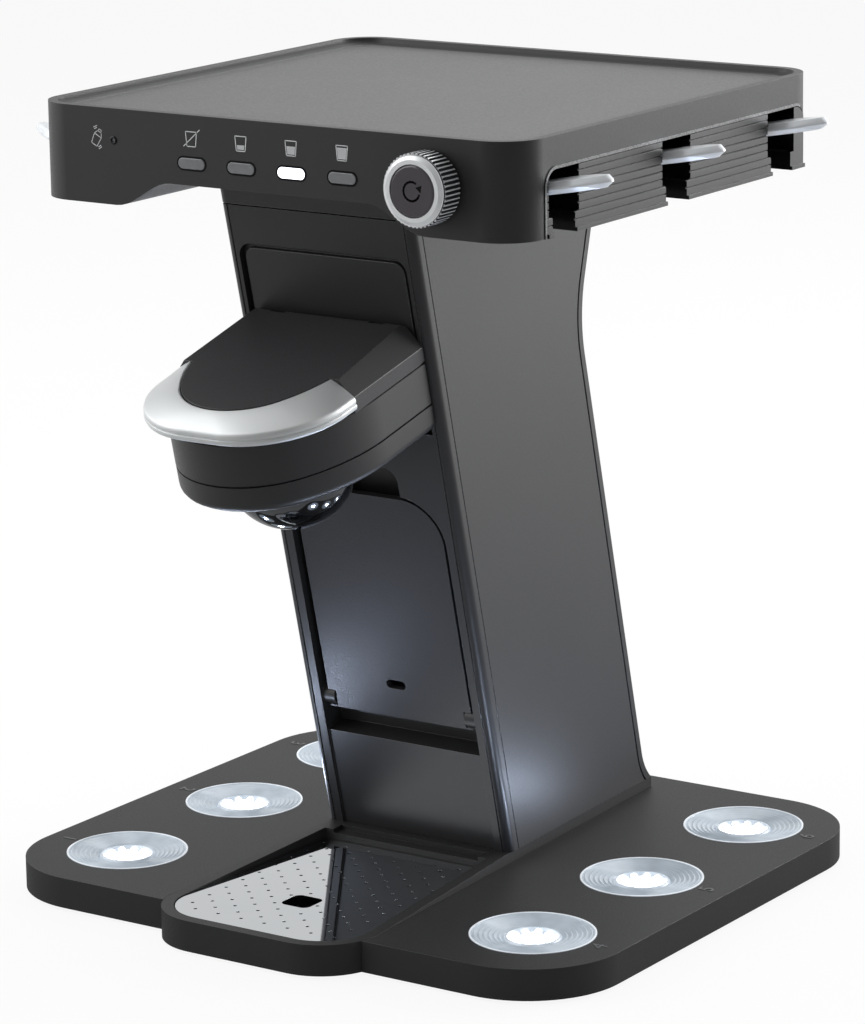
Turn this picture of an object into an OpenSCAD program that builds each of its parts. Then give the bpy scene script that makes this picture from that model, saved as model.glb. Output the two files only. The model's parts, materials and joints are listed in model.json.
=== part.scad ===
// Countertop cocktail machine with a lit six-bottle base, a leaning column,
// a pod head with a hinged lid, a fold-down cup shelf and a top tray with six bottle docks.
// Frame: X right, Y back, Z up, millimetres, feet on Z = 0.

/* [Base] */
// Height of the rubber feet under the pan
foot_h = 2; // [1:0.5:6]
// Height of the wings above the feet
base_h = 16.3; // [15:0.1:24]
// Half width of the base
base_half = 179; // [172:1:195]
// Front edge of the wings
wing_front = -146.6; // [-152:0.1:-140]
// Back edge of the base
base_back = 167.7; // [162:0.1:185]
// Corner radius of the wings
wing_r = 51.6; // [20:0.1:52]
// Wall thickness of the mouldings
wall = 2.6; // [2:0.1:3.2]
// Thickness of the bottom pan
pan_t = 2.2; // [1.5:0.1:3]
// Lens diameter of one bottle bay
lens_d = 64; // [50:1:72]
// Sideways place of the bottle bays
bay_x = 127.4; // [122:0.1:132]
// Distance between two bottle bays
bay_pitch = 104; // [96:0.5:108]
// Y of the middle bottle bay
bay_y = 12.3; // [5:0.1:20]

/* [Drip housing] */
// Front of the drip housing
house_front = -167.7; // [-176:0.1:-160]
// Half width of the drip housing at its front
house_half = 65.4; // [62:0.1:70]
// Inward slope of the housing flanks toward the back
house_taper = 0.0505; // [0.03:0.0005:0.06]
// Front corner radius of the housing
house_r = 33; // [15:1:36]
// Back end of the housing
house_back = 150; // [149:0.5:158]
// Step of the plinth above the wings
plinth_step = 5.8; // [3:0.1:9]
// Width of the rim around the drip well
rim_w = 6.5; // [5:0.1:9]
// Back edge of the drip well
well_back = -18; // [-25:0.5:-14]
// Diameter of one drain hole in the drip plate
drain_d = 1.9; // [1.2:0.1:3]
// Half the distance between two drain holes of one row
drain_pitch = 7.2; // [6:0.1:12]

/* [Column] */
// Forward lean of the column in degrees
lean_a = 13.53; // [8:0.01:16]
// Y of the column front at the plinth
col_y = -5.5; // [-8:0.1:0]
// Half width of the column front
col_half = 58.4; // [56:0.1:62]
// Inward slope of the column flanks toward the back
col_taper = 0.058; // [0.03:0.001:0.07]
// Depth of the column square to its front
col_depth = 144.5; // [136:0.5:150]
// Radius of the soft front edges
edge_r = 4.5; // [2:0.1:6]
// Height along the lean where the back starts to flare
flare_z = 222; // [200:1:240]
// Radius of the flare
flare_r = 75; // [50:1:110]
// Angle of the flare from the lean in degrees
flare_a = 31; // [15:1:36]
// Radius of the curve that spreads the foot of the column at the back
heel_r = 30; // [20:1:40]
// Height over which the foot spreads
heel_h = 17; // [8:0.5:18]
// Thickness of the column front
face_t = 4; // [3:0.1:5]
// Width of the front shell wrapped round the sides
wrap = 8; // [5:0.5:12]
// Width of the rear cover wrapped round the sides
rear_wrap = 4; // [3:0.5:8]
// Width of the seams between panels
seam = 0.8; // [0.3:0.1:1]
// Inset of the side panels
inset = 0.2; // [0.1:0.1:1]

/* [Cup shelf] */
// Half width of the shelf
shelf_half = 45; // [42:0.5:46]
// Shelf lower edge along the lean
shelf_z0 = 69.5; // [66:0.5:74]
// Shelf upper edge along the lean
shelf_z1 = 199; // [180:0.5:202]
// Corner radius of the shelf top
shelf_r = 24; // [10:1:30]
// Shelf thickness
shelf_t = 4; // [3:0.1:5]
// Depth of the shelf behind the column front
shelf_y = 2.6; // [1:0.1:4]
// Clearance between shelf and opening
shelf_gap = 3.4; // [2:0.1:5]
// Depth of the shelf pocket
pocket_d = 14.5; // [13.5:0.5:20]

/* [Head] */
// Half width of the head
head_half = 54; // [52:0.5:56]
// Nose radius of the head
nose_r = 46.5; // [40:0.5:48]
// Flank radius of the head
flank_r = 90; // [80:1:110]
// Centre of the nose in front of the column
nose_y = -66.8; // [-70:0.1:-62]
// Underside of the head along the lean
head_z0 = 243; // [241:0.5:244]
// Seam between lower and middle body
head_z1 = 257.5; // [256:0.1:260]
// Seam between middle body and lid
head_z2 = 280.5; // [278:0.1:283]
// Top of the lid at the hinge
lid_top = 300.8; // [298:0.1:304]
// Downward slope of the lid top toward the front in degrees
lid_slope = 2.9; // [0:0.1:4]
// Inset of the lid top inside the head outline
lid_in = 10.5; // [8:0.1:12]
// Half width of the handle
handle_half = 56; // [54:0.5:60]
// Front of the handle ahead of the column
handle_front = -118.6; // [-124:0.1:-114]
// Corner radius of the handle
handle_r = 46; // [40:0.5:50]
// Back ends of the handle
handle_back = -63; // [-66:0.5:-56]
// Radius of the nozzle dome
dome_r = 34; // [28:0.5:36]
// Centre of nozzle and pod in front of the column
pod_y = -52; // [-56:0.5:-50]

/* [Top tray] */
// Half width of the tray
tray_half = 146.3; // [143:0.1:150]
// Front of the tray
tray_front = -127.4; // [-132:0.1:-122]
// Back of the tray
tray_back = 159.7; // [152:0.1:166]
// Underside of the tray
tray_z0 = 371.6; // [368:0.1:374]
// Height of the tray sides
tray_h = 48.6; // [46:0.1:56]
// Corner radius of the tray
tray_r = 22; // [12:1:28]
// Wall thickness of the tray
tray_wall = 3; // [2.4:0.1:4]
// Depth of the recessed top
top_dip = 4; // [2:0.5:6]
// Width of the rim round the recessed top
top_rim = 4.5; // [3:0.5:8]
// Rise of the arch under the tray
arch_h = 13.5; // [8:0.1:16]
// Half width of the flat part of the arch
arch_half = 59; // [59:0.5:64]
// Half width of the arch foot
arch_foot = 93; // [88:0.5:98]
// Width of a dock opening
dock_w = 27; // [24:0.5:30]
// Width of a dock throat
throat_w = 20; // [16:0.5:22]
// Offset of the docks behind the bay centres
dock_shift = 3.5; // [2:0.5:5]
// Length of a lever from pivot to tip
lever_len = 59; // [50:0.5:64]
// Upward tilt of the levers in degrees
lever_tilt = 9.8; // [4:0.1:12]
// Lever thickness
lever_t = 6; // [4:0.1:7]
// Length of the parallel part of a lever
lever_flat = 34; // [26:0.5:40]
// Radius of a lever's tip
lever_tip_r = 3; // [2:0.1:5]
// Width of the bead round the rail openings
bead_w = 1.6; // [1:0.1:3]
// Projection of that bead
bead_out = 0.5; // [0.3:0.1:1]

/* [Controls] */
// Diameter of the dial ring
dial_d = 36; // [30:0.5:40]
// Projection of the dial from the tray front
dial_out = 16.5; // [12:0.5:20]
// X of the dial
dial_x = 97; // [92:0.5:102]
// Height of the dial
dial_z = 396.3; // [394:0.1:398]
// Diameter of the push cap
cap_d = 25.2; // [20:0.1:27]
// Number of knurls on the dial
knurls = 48; // [24:1:60]
// Length of a level light
pill_l = 16.1; // [12:0.1:20]
// Height of a level light
pill_h = 5.5; // [4:0.1:7]
// Distance between two level lights
pill_pitch = 30.2; // [26:0.1:34]
// Height of the level lights
pill_z = 396.1; // [394:0.1:399]
// Place of the indicator across the panel
sign_x = -93.7; // [-98:0.1:-88]
// Height of the indicator
sign_z = 404.2; // [402:0.1:406]
// Radius of the indicator
sign_r = 1.8; // [1.2:0.1:2.4]

/* [Fits] */
// Radial running clearance of pins
run_gap = 0.05; // [0.02:0.01:0.1]
// Clearance round fixed inserts
fit_gap = 0.2; // [0.1:0.05:0.4]
// Clearance round lift-out pieces
lift_gap = 0.6; // [0.4:0.1:1]
// Clearance round the dock rails
rail_gap = 0.4; // [0.2:0.1:0.8]

/* [Hidden] */
$fn = 64;

black = [0.16, 0.16, 0.17];
dark = [0.1, 0.1, 0.11];
silver = [0.77, 0.78, 0.79];
steel = [0.8, 0.82, 0.84];
chrome = [0.25, 0.26, 0.28];
clear = [0.85, 0.92, 0.95];
rubber = [0.08, 0.08, 0.08];
green = [0.1, 0.35, 0.2];
tube_col = [0.85, 0.85, 0.82];

eps = 0.01;
tuck = 0.002;
big = 600;
deck_top = foot_h + base_h;
plinth_top = deck_top + plinth_step;
pan_top = foot_h + pan_t;
bays = [bay_y - bay_pitch, bay_y, bay_y + bay_pitch];
docks = [for (y = bays) y + dock_shift];
house_s = sqrt(1 + house_taper * house_taper);
col_s = sqrt(1 + col_taper * col_taper);
lean_s = sin(lean_a);
lean_c = cos(lean_a);
neck_z = tray_z0 - 2;
arch_z = tray_z0 + arch_h;
tray_top = tray_z0 + tray_h;
tray_floor = tray_top - top_dip;
side_y = nose_y + sqrt(pow(flank_r - nose_r, 2) - pow(flank_r - head_half, 2));
blend_u = (nose_y - side_y) / (flank_r - nose_r);
panel_y = 1.5;
window_side = 7.4;
panel_lip = 1.4;
window_half = col_half - window_side;
window_z0 = head_z0 - 3;
window_z1 = 335;
open_half = shelf_half + shelf_gap;
open_z0 = shelf_z0 - 14;
open_z1 = shelf_z1 + 3;
notch_half = 24.5;
notch_z1 = shelf_z1 + 19;
notch_r = 9;
hinge_r = 5.5;
lid_hinge_y = panel_y - 0.5 - hinge_r;
lid_hinge_z = lid_top - hinge_r;
lid_pin_r = 1.8;
knuckle_x = 30;
knuckle_w = 8;
knuckle_r = 4;
knuckle_gap = 0.4;
barrel_l = 80;
lid_back_gap = 0.5;
lid_swing_gap = 0.3;
shelf_pin_r = 2;
pin_end = 1.8;
shelf_barrel_r = 4.2;
ear_r = 5.5;
ear_gap = 0.6;
ear_w = 4;
shelf_hinge_y = shelf_y + shelf_barrel_r;
shelf_hinge_z = shelf_z0 + 5.5;
rail_proud = 0.3;
rail_reach = 21.4;
rail_front = 1.2;
rail_rear = 10;
rail_h = 32.1;
rail_skin = 3;
rail_floor = 2.4;
rail_out = tray_half + rail_proud;
rail_in = bay_x - rail_reach;
rail_y0 = docks[0] - dock_w / 2 - rail_front;
rail_y1 = docks[2] + dock_w / 2 + rail_rear;
rail_mid = (rail_y0 + rail_y1) / 2;
rail_half = (rail_y1 - rail_y0) / 2;
rail_top = tray_z0 + rail_h;
dock_post = 5;
sill_t = 2;
sill_out = 1.2;
sill_in = 5;
rib_n = 7;
rib_z = 1.4;
rib_pitch = 3.9;
rib_cut = 0.8;
ledge_h = 9.4;
ledge_z = tray_z0 + ledge_h;
lever_back = 10;
lever_lift = 18.2;
lever_side = 0.8;
lever_eye = 4;
lever_swell = 6;
lever_keel = 4;
lever_crown = 2;
lever_x = rail_in + lever_back;
lever_z = tray_z0 + lever_lift;
lever_half = dock_w / 2 - lever_side;
lever_pin_r = 1.5;
lever_pin_end = 2.6;
barb_r = 2;
barb_lift = 21.9;
barb_z = tray_z0 + barb_lift;
plate_z = deck_top - 1.5;
plate_t = 1;
board_t = 1.6;
sheet_t = 2;
pocket_back = pocket_d + 2;
screw_r = 1.5;
screw_sink = 1.6;
tube_r = 3.4;
tube_bore = 2.2;
neck_r = 11.7;

// Point of the leaning frame in the upright frame
function lw(p) = [p[0],
    col_y + lean_c * p[1] - lean_s * p[2],
    plinth_top + lean_s * p[1] + lean_c * p[2]];

frame_y = -(lw([0, handle_front, head_z2 + 9.4])[1] + base_back) / 2;

// Centres the whole outline on the origin
module at() {
    translate([0, frame_y, 0]) children();
}

// Places its children in the leaning frame of the column front
module lean() {
    translate([0, col_y, plinth_top]) rotate([lean_a, 0, 0]) children();
}

// Extrudes an outline drawn in Y and Z along X
module along_x(len) {
    rotate([90, 0, 90]) linear_extrude(len, center = true) children();
}

// Extrudes an outline drawn in X and Z from y0 backward
module along_y(y0, len) {
    translate([0, y0 + len, 0]) rotate([90, 0, 0]) linear_extrude(len) children();
}

// Unit vector
function unit(v) = v / norm(v);

// Straight piece of hose between two points
module pipe(p, q, r, bore) {
    d = q - p;
    l = norm(d);
    translate(p) rotate([0, acos(d[2] / l), atan2(d[1], d[0])]) difference() {
        cylinder(h = l, r = r, $fn = 32);
        translate([0, 0, -1]) cylinder(h = l + 2, r = bore, $fn = 32);
    }
}

// Bend of a hose at point b between two directions
module elbow(b, d1, d2, r, bore, rb) {
    turn = acos(d1 * d2);
    w = unit(d2 - (d1 * d2) * d1);
    z = cross(-w, d1);
    c = b - rb * tan(turn / 2) * d1 + rb * w;
    multmatrix([[-w[0], d1[0], z[0], c[0]], [-w[1], d1[1], z[1], c[1]], [-w[2], d1[2], z[2], c[2]],
        [0, 0, 0, 1]]) rotate_extrude(angle = turn) translate([rb, 0]) difference() {
            circle(r, $fn = 32);
            circle(bore, $fn = 32);
        }
}

// Hose through a list of points with bends of radius rb
module hose(pts, r, bore, rb) {
    n = len(pts);
    dirs = [for (i = [0:n - 2]) unit(pts[i + 1] - pts[i])];
    cuts = [for (i = [0:n - 1]) i == 0 || i == n - 1 ? 0 : rb * tan(acos(dirs[i - 1] * dirs[i]) / 2)];
    for (i = [0:n - 2]) pipe(pts[i] + cuts[i] * dirs[i], pts[i + 1] - cuts[i + 1] * dirs[i], r, bore);
    for (i = [1:n - 2]) elbow(pts[i], dirs[i - 1], dirs[i], r, bore, rb);
}

// Rectangle between two Y lines with four round corners
module slab2d(half, y0, y1, r) {
    translate([-half + r, y0]) square([2 * (half - r), y1 - y0]);
    translate([-half, y0 + r]) square([2 * half, y1 - y0 - 2 * r]);
    for (x = [-half + r, half - r], y = [y0 + r, y1 - r]) translate([x, y]) circle(r);
}

// Rectangle with two round upper corners
module arch2d(half, z0, z1, r) {
    translate([-half, z0]) square([2 * half, z1 - z0 - r]);
    translate([-half + r, z0]) square([2 * (half - r), z1 - z0]);
    for (x = [-half + r, half - r]) translate([x, z1 - r]) circle(r);
}

// Pill outline
module pill2d(l, h) {
    square([l - h, h], center = true);
    for (x = [-1, 1]) translate([x * (l - h) / 2, 0]) circle(h / 2);
}

// Tapering outline with two round front corners
module trap2d(yf, half, taper, r, yb) {
    s = sqrt(1 + taper * taper);
    xc = half - taper * r - r * s;
    xt = xc + r / s;
    yt = yf + r + taper * r / s;
    xb = half - taper * (yb - yf);
    xs = xt - tuck;
    polygon([[-xc, yf], [xc, yf], [xs, yt], [xb - tuck, yb], [tuck - xb, yb], [-xs, yt]]);
    for (x = [-xc, xc]) translate([x, yf + r]) circle(r);
}

// Outline of the drip housing grown by g, ending at yb
module house2d(g, yb) {
    trap2d(house_front - g, house_half + g * (house_s + house_taper), house_taper, house_r + g, yb);
}

// Outline of the wings shrunk by g
module wings2d(g) {
    slab2d(base_half - g, wing_front + g, base_back - g, wing_r - g);
}

// Outline of the bottom pan shrunk by g
module pan2d(g) {
    wings2d(wall + g);
    house2d(-wall - g, house_back);
}

// Outline of the drip well grown by g
module well2d(g) {
    intersection() {
        house2d(g - rim_w, house_back);
        translate([-big / 2, house_front - 10]) square([big, well_back + g - house_front + 10]);
    }
}

// Outline of the column seen along its lean, shrunk by g
module col_plan(g) {
    trap2d(g, col_half - g * (col_s + col_taper), col_taper, max(edge_r - g, 0.8), 230);
}

// Side outline of the column, front moved back by gf, back moved in by gb
module col_profile(gf, gb) {
    yb = col_depth - gb;
    rr = flare_r + gb;
    cy = col_depth + flare_r;
    hz = heel_h - col_depth * lean_s / lean_c;
    t1 = [yb, flare_z];
    t2 = [cy - rr * cos(flare_a), flare_z + rr * sin(flare_a)];
    t3 = t2 + 140 * [sin(flare_a), cos(flare_a)];
    difference() {
        polygon([[gf, -80], [yb + heel_r, -80], [yb + heel_r, hz], [yb, hz], t1, t2, t3, [gf, t3[1]]]);
        translate([cy - tuck, flare_z]) circle(rr, $fn = 128);
        translate([col_depth + heel_r - tuck, hz]) circle(max(heel_r + gb, 1), $fn = 128);
    }
}

// Leaning column block with flanks in by gs, front in by gf and back in by gb
module col_block(gs, gf, gb) {
    lean() intersection() {
        translate([0, 0, -80]) linear_extrude(540) col_plan(gs);
        along_x(200) col_profile(gf, gb);
    }
}

// Upright slice between two heights
module slice(z0, z1) {
    translate([-big / 2, -big / 2, z0]) cube([big, big, z1 - z0]);
}

// Outline of the shelf opening with its finger notch, grown by g
module pocket2d(g) {
    arch2d(open_half + g, open_z0 - g, open_z1 + g, shelf_r + 2 + g);
    arch2d(notch_half + g, open_z0, notch_z1 + g, notch_r + g);
}

// Outline of the head shrunk by g, ending at yb
module head2d(g, yb) {
    rs = flank_r - g;
    rn = nose_r - g;
    yj = nose_y + rn * blend_u;
    translate([-(head_half - g), side_y]) square([2 * (head_half - g), yb - side_y]);
    intersection() {
        translate([head_half - flank_r, side_y]) circle(rs, $fn = 128);
        translate([flank_r - head_half, side_y]) circle(rs, $fn = 128);
        translate([-head_half, yj]) square([2 * head_half, side_y - yj]);
    }
    translate([0, nose_y]) circle(rn);
}

// Outline of the flat lid top shrunk by g, ending at yb
module lid2d(g, yb) {
    translate([0, -2]) head2d(lid_in + g, yb + 2);
}

// Everything above the sloping lid top
module above_lid() {
    translate([0, lid_hinge_y, lid_top]) rotate([lid_slope, 0, 0])
        translate([-big / 2, -big, 0]) cube([big, big, 60]);
    translate([-big / 2, lid_hinge_y - hinge_r, lid_top]) cube([big, 60, 60]);
}

// Underside line of the tray arch at x
function arch_line(x) = abs(x) <= arch_half ? arch_z :
    abs(x) >= arch_foot ? tray_z0 :
    tray_z0 + arch_h * (1 + cos(180 * (abs(x) - arch_half) / (arch_foot - arch_half))) / 2;
arch_steps = 10;
arch_xs = concat([-big / 2],
    [for (i = [0:arch_steps]) -arch_foot + i * (arch_foot - arch_half) / arch_steps],
    [for (i = [0:arch_steps]) arch_half + i * (arch_foot - arch_half) / arch_steps],
    [big / 2]);

// Space under the arch, raised by g
module arch2d_void(g) {
    polygon(concat([[big / 2, tray_z0 - 60], [-big / 2, tray_z0 - 60]],
        [for (x = arch_xs) [x, arch_line(x) + g]]));
}

// Outline of the tray shrunk by g
module tray2d(g) {
    slab2d(tray_half - g, tray_front + g, tray_back - g, tray_r - g);
}

// Screw with its head at the origin, shank up
module screw(l, head_r) {
    difference() {
        cylinder(h = 1.8, r = head_r, $fn = 32);
        translate([0, 0, -eps]) cylinder(h = 1, r = head_r / 2.4, $fn = 6);
    }
    translate([0, 0, 1.8 - eps]) cylinder(h = l + eps, r = screw_r, $fn = 24);
}

foot_r = 9;
foot_in = 29;
foot_x = 40;
screw_in = 20;
boss_r = 4.5;
screw_l = 9;
screw_head = 3.2;
foot_spots = [for (sx = [-1, 1]) each [[sx * (base_half - foot_in), wing_front + foot_in],
    [sx * (base_half - foot_in), base_back - foot_in], [sx * foot_x, house_front + foot_in]]];
screw_spots = [for (sx = [-1, 1], sy = [-0.5, 0.5]) [sx * (base_half - screw_in), bay_y + sy * bay_pitch]];

module base_deck() {
    color(black) at() difference() {
        translate([0, 0, foot_h]) linear_extrude(base_h) difference() {
            wings2d(0);
            house2d(fit_gap, house_back + fit_gap);
        }
        difference() {
            translate([0, 0, foot_h - 1]) linear_extrude(base_h + 1 - wall) difference() {
                wings2d(wall);
                house2d(fit_gap + wall, house_back + fit_gap + wall);
            }
            for (p = screw_spots) translate([p[0], p[1], 0]) cylinder(h = deck_top, r = boss_r);
        }
        translate([0, 0, foot_h - 1]) linear_extrude(pan_t + 1 + fit_gap) pan2d(-fit_gap);
        for (s = [-1, 1], y = bays) translate([s * bay_x, y, 0])
            cylinder(h = deck_top + 1, d = lens_d + 2 * fit_gap, $fn = 96);
        for (p = screw_spots) translate([p[0], p[1], 0]) cylinder(h = deck_top - wall, r = screw_r + 0.1);
        along_y(base_back - wall - 1, wall + 2) translate([inlet_x, inlet_z])
            square([inlet_w + 2 * fit_gap, inlet_h + 2 * fit_gap], center = true);
    }
}

vent_x = 90;
vent_y = -40;
vent_l = 24;
vent_w = 4;
vent_pitch = 12;
vents = 6;

module base_pan() {
    color(dark) at() difference() {
        translate([0, 0, foot_h]) linear_extrude(pan_t) pan2d(fit_gap);
        for (p = screw_spots) translate([p[0], p[1], 0]) {
            cylinder(h = pan_top + 1, r = screw_r + 0.2);
            cylinder(h = foot_h + 1.4, r = 3.6);
        }
        for (sx = [-1, 1], i = [0:vents - 1])
            translate([sx * vent_x - vent_l / 2, vent_y + i * vent_pitch, 0]) cube([vent_l, vent_w, base_h]);
    }
}

module rubber_feet() {
    color(rubber) at() for (p = foot_spots) translate([p[0], p[1], 0]) cylinder(h = foot_h, r = foot_r);
}

module base_screws() {
    color(steel) at() for (p = screw_spots) translate([p[0], p[1], foot_h - 0.4]) screw(screw_l, screw_head);
}

// Clear ringed lens of one bottle bay
module bay_lens() {
    r = lens_d / 2;
    z0 = deck_top - wall - 2;
    ring = 2;
    rings = 6;
    rotate_extrude($fn = 96) difference() {
        union() {
            translate([0, z0]) square([r, deck_top - z0]);
            translate([0, z0]) square([r + 2, 2]);
        }
        for (i = [1:rings]) translate([r - 0.4 - i * ring, deck_top - 0.5]) square([ring / 2, 1]);
        translate([0, z0 - eps]) square([r * 0.45, 1.2]);
        translate([0, deck_top - 0.8]) square([r * 0.5, 1]);
    }
}

module lens_left() {
    color(clear) at() for (y = bays) translate([-bay_x, y, 0]) bay_lens();
}

module lens_right() {
    color(clear) at() for (y = bays) translate([bay_x, y, 0]) bay_lens();
}

lamp_w = 36;
lamp_l = 48;
lamp_link = 14;
lamp_gap = 0.4;
lamp_pad = 12;
lamp_chip = 3;
lamp_ring = 8.5;

// Lamp board below the lenses of one wing
module led_board() {
    z0 = pan_top + lamp_gap;
    translate([-lamp_link / 2, bays[0], z0]) cube([lamp_link, 2 * bay_pitch, board_t]);
    for (y = bays) translate([0, y, z0]) {
        translate([-lamp_w / 2, -lamp_l / 2, 0]) cube([lamp_w, lamp_l, board_t]);
        translate([0, 0, board_t - eps]) {
            cylinder(h = lamp_chip / 2, r = lamp_pad);
            for (a = [0:60:300]) rotate(a) translate([lamp_ring - lamp_chip / 2, -lamp_chip / 2, 0])
                cube([lamp_chip, lamp_chip, lamp_chip - lamp_gap]);
        }
    }
    for (y = [bays[0] - lamp_l / 3, bays[2] + lamp_l / 3]) translate([0, y, pan_top])
        cylinder(h = lamp_gap + eps, r = 4);
}

module led_board_left() {
    color(green) at() translate([-bay_x, 0, 0]) led_board();
}

module led_board_right() {
    color(green) at() translate([bay_x, 0, 0]) led_board();
}

// Rising side outline of the housing, top lowered by g
module house_side(g) {
    polygon([[house_front - 20, 0], [house_front - 20, deck_top - g], [house_front + house_r, deck_top - g],
        [col_y, plinth_top - g], [house_back + 20, plinth_top - g], [house_back + 20, 0]]);
}

inlet_x = 90;
inlet_w = 18;
inlet_h = 9;
inlet_z = (pan_top + deck_top - wall) / 2;

module plinth() {
    color(black) at() difference() {
        intersection() {
            translate([0, 0, foot_h]) linear_extrude(base_h + plinth_step) house2d(0, house_back);
            along_x(200) house_side(0);
        }
        difference() {
            intersection() {
                translate([0, 0, foot_h - 1]) linear_extrude(base_h + plinth_step)
                    house2d(-wall, house_back - wall);
                along_x(200) house_side(wall);
            }
            translate([0, 0, pan_top + 0.4]) linear_extrude(30) well2d(1.8);
        }
        translate([0, 0, pan_top + 2.2]) linear_extrude(30) well2d(0);
        translate([0, 0, foot_h - 1]) linear_extrude(pan_t + 1 + fit_gap) pan2d(-fit_gap);
        translate([-46, well_back - eps, plinth_top - 2.6]) cube([92, 8, 10]);
        translate([-30, 20, plinth_top - wall - 1]) cube([60, 70, wall + 2]);
    }
}

module power_inlet() {
    color(dark) at() translate([inlet_x, base_back, inlet_z]) difference() {
        union() {
            along_y(-16, 16.6) square([inlet_w, inlet_h], center = true);
            along_y(-wall - 2, 2) square([inlet_w + 4, inlet_h + 1.6], center = true);
        }
        along_y(-12, 14) pill2d(inlet_w - 4, inlet_h - 3);
    }
    color(steel) at() for (s = [-1, 1]) translate([inlet_x + s * 4, base_back - 13, inlet_z])
        rotate([-90, 0, 0]) cylinder(h = 10, r = 1.1, $fn = 24);
}

module drip_cup() {
    color(black) at() difference() {
        translate([0, 0, pan_top + 2.2]) linear_extrude(plate_z - pan_top - 2.2) well2d(-lift_gap);
        translate([0, 0, pan_top + 4]) linear_extrude(30) well2d(-lift_gap - 2);
    }
}

finger_w = 17;
finger_r = 4;
finger_y = -111;

module drip_plate() {
    color(steel) at() translate([0, 0, plate_z]) linear_extrude(plate_t) difference() {
        well2d(-lift_gap);
        translate([0, finger_y]) slab2d(finger_w / 2, -finger_w / 2, finger_w / 2, finger_r);
        for (i = [-7:6], j = [0:9]) {
            p = [(i + 0.5) * drain_pitch, house_front + 19 + (2 * j + abs(i % 2)) * drain_pitch];
            edge = house_half - rim_w - 4 - house_taper * (p[1] - house_front);
            near = norm([max(abs(p[0]) - finger_w / 2, 0), max(abs(p[1] - finger_y) - finger_w / 2, 0)]);
            if (near > 1.5 && abs(p[0]) < edge && p[1] < well_back - 6)
                translate(p) circle(d = drain_d, $fn = 16);
        }
    }
}

// Two round ears on the shelf axis between x0 and x1
module shelf_ears(x0, x1, r) {
    for (s = [-1, 1]) translate([s > 0 ? x0 : -x1, shelf_hinge_y, shelf_hinge_z])
        rotate([0, 90, 0]) cylinder(h = x1 - x0, r = r, $fn = 64);
}

module column_front() {
    color(black) at() difference() {
        union() {
            difference() {
                intersection() {
                    col_block(0, 0, 0);
                    slice(plinth_top, neck_z);
                    lean() translate([-100, -10, -80]) cube([200, 10 + wrap, 560]);
                }
                col_block(wall, face_t, -60);
            }
            intersection() {
                lean() along_y(face_t - 1, pocket_back - face_t + 1) pocket2d(2);
                slice(plinth_top, neck_z);
            }
        }
        lean() {
            difference() {
                along_y(-5, pocket_d + 5) pocket2d(0);
                shelf_ears(shelf_half - ear_w, open_half + 1, ear_r);
            }
            along_y(-5, face_t + 10) arch2d(window_half, window_z0, window_z1, 8);
            along_y(-5, 6.5) translate([-open_half, -60]) square([2 * open_half, open_z0 + 61]);
            for (s = [-1, 1]) along_y(-5, 5.7) translate([s * 53.4 - 0.4, -60]) square([0.8, 560]);
            translate([-open_half - pin_end, shelf_hinge_y, shelf_hinge_z]) rotate([0, 90, 0])
                cylinder(h = 2 * (open_half + pin_end), r = shelf_pin_r, $fn = 48);
        }
    }
}

// One inset side panel of the column
module side_panel(s) {
    intersection() {
        difference() {
            col_block(inset, 0, 0);
            col_block(inset + wall, -20, -60);
        }
        col_block(-5, wrap + seam, rear_wrap + seam);
        slice(plinth_top, neck_z);
        translate([s > 0 ? 0 : -200, -300, 0]) cube([200, 600, 500]);
    }
}

module side_panel_left() {
    color(black) at() side_panel(-1);
}

module side_panel_right() {
    color(black) at() side_panel(1);
}

rear_spots = [for (x = [-36, 36], z = [40, 200]) [x, z]];

module rear_cover() {
    color(black) at() difference() {
        intersection() {
            col_block(0, 0, 0);
            slice(plinth_top, neck_z);
        }
        col_block(wall, -20, wall);
        lean() along_x(240) col_profile(-40, rear_wrap);
        lean() for (p = rear_spots) translate([p[0], 0, p[1]]) rotate([-90, 0, 0]) {
            cylinder(h = 200, r = screw_r + 0.2, $fn = 24);
            translate([0, 0, col_depth - screw_sink]) cylinder(h = 20, r = 3.6, $fn = 32);
        }
    }
}

module cover_screws() {
    color(steel) at() {
        lean() for (p = rear_spots) translate([p[0], col_depth - screw_sink + 1.8, p[1]]) rotate([90, 0, 0])
            screw(screw_l - 1, screw_head);
        for (p = tray_spots) translate([p[0], p[1], tray_z0 - 0.4]) screw(screw_l, screw_head);
    }
}

module neck_collar() {
    color(black) at() intersection() {
        difference() {
            col_block(0, 0, 0);
            col_block(wall, wall, wall);
        }
        slice(neck_z + 0.4, arch_z);
    }
}

chassis_y = 74;
chassis_half = 42;
chassis_d = 30;
chassis_top = 156;
chassis_hole = 5;
chassis_pitch = [30, 40];
chassis_row = 50;

module chassis() {
    foot_y = col_y + chassis_y / lean_c + sheet_t / 2;
    color(steel) at() {
        intersection() {
            lean() {
                difference() {
                    translate([-chassis_half, chassis_y, -big / 10])
                        cube([2 * chassis_half, sheet_t, big / 10 + chassis_top]);
                    for (i = [-1:1], j = [0:2])
                        translate([i * chassis_pitch[0], chassis_y - 1, chassis_row + j * chassis_pitch[1]])
                            rotate([-90, 0, 0]) cylinder(h = sheet_t + 2, r = chassis_hole, $fn = 32);
                }
                for (s = [-1, 1])
                    translate([s > 0 ? chassis_half - eps : -chassis_half - sheet_t, chassis_y, -big / 10])
                        cube([sheet_t + eps, chassis_d, big]);
            }
            slice(plinth_top, valve_z);
        }
        translate([-chassis_half - sheet_t, foot_y, plinth_top])
            cube([2 * (chassis_half + sheet_t), chassis_d, sheet_t]);
    }
}

card_half = 38;
card_off = 12;
card_z = 32;
card_h = 118;
card_in = 6;
chip_w = 32;
chip_h = 4;
relay_w = 14;
relay_h = 8;
plug_w = 7;
plug_pitch = 9;
plug_h = 6;

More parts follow.
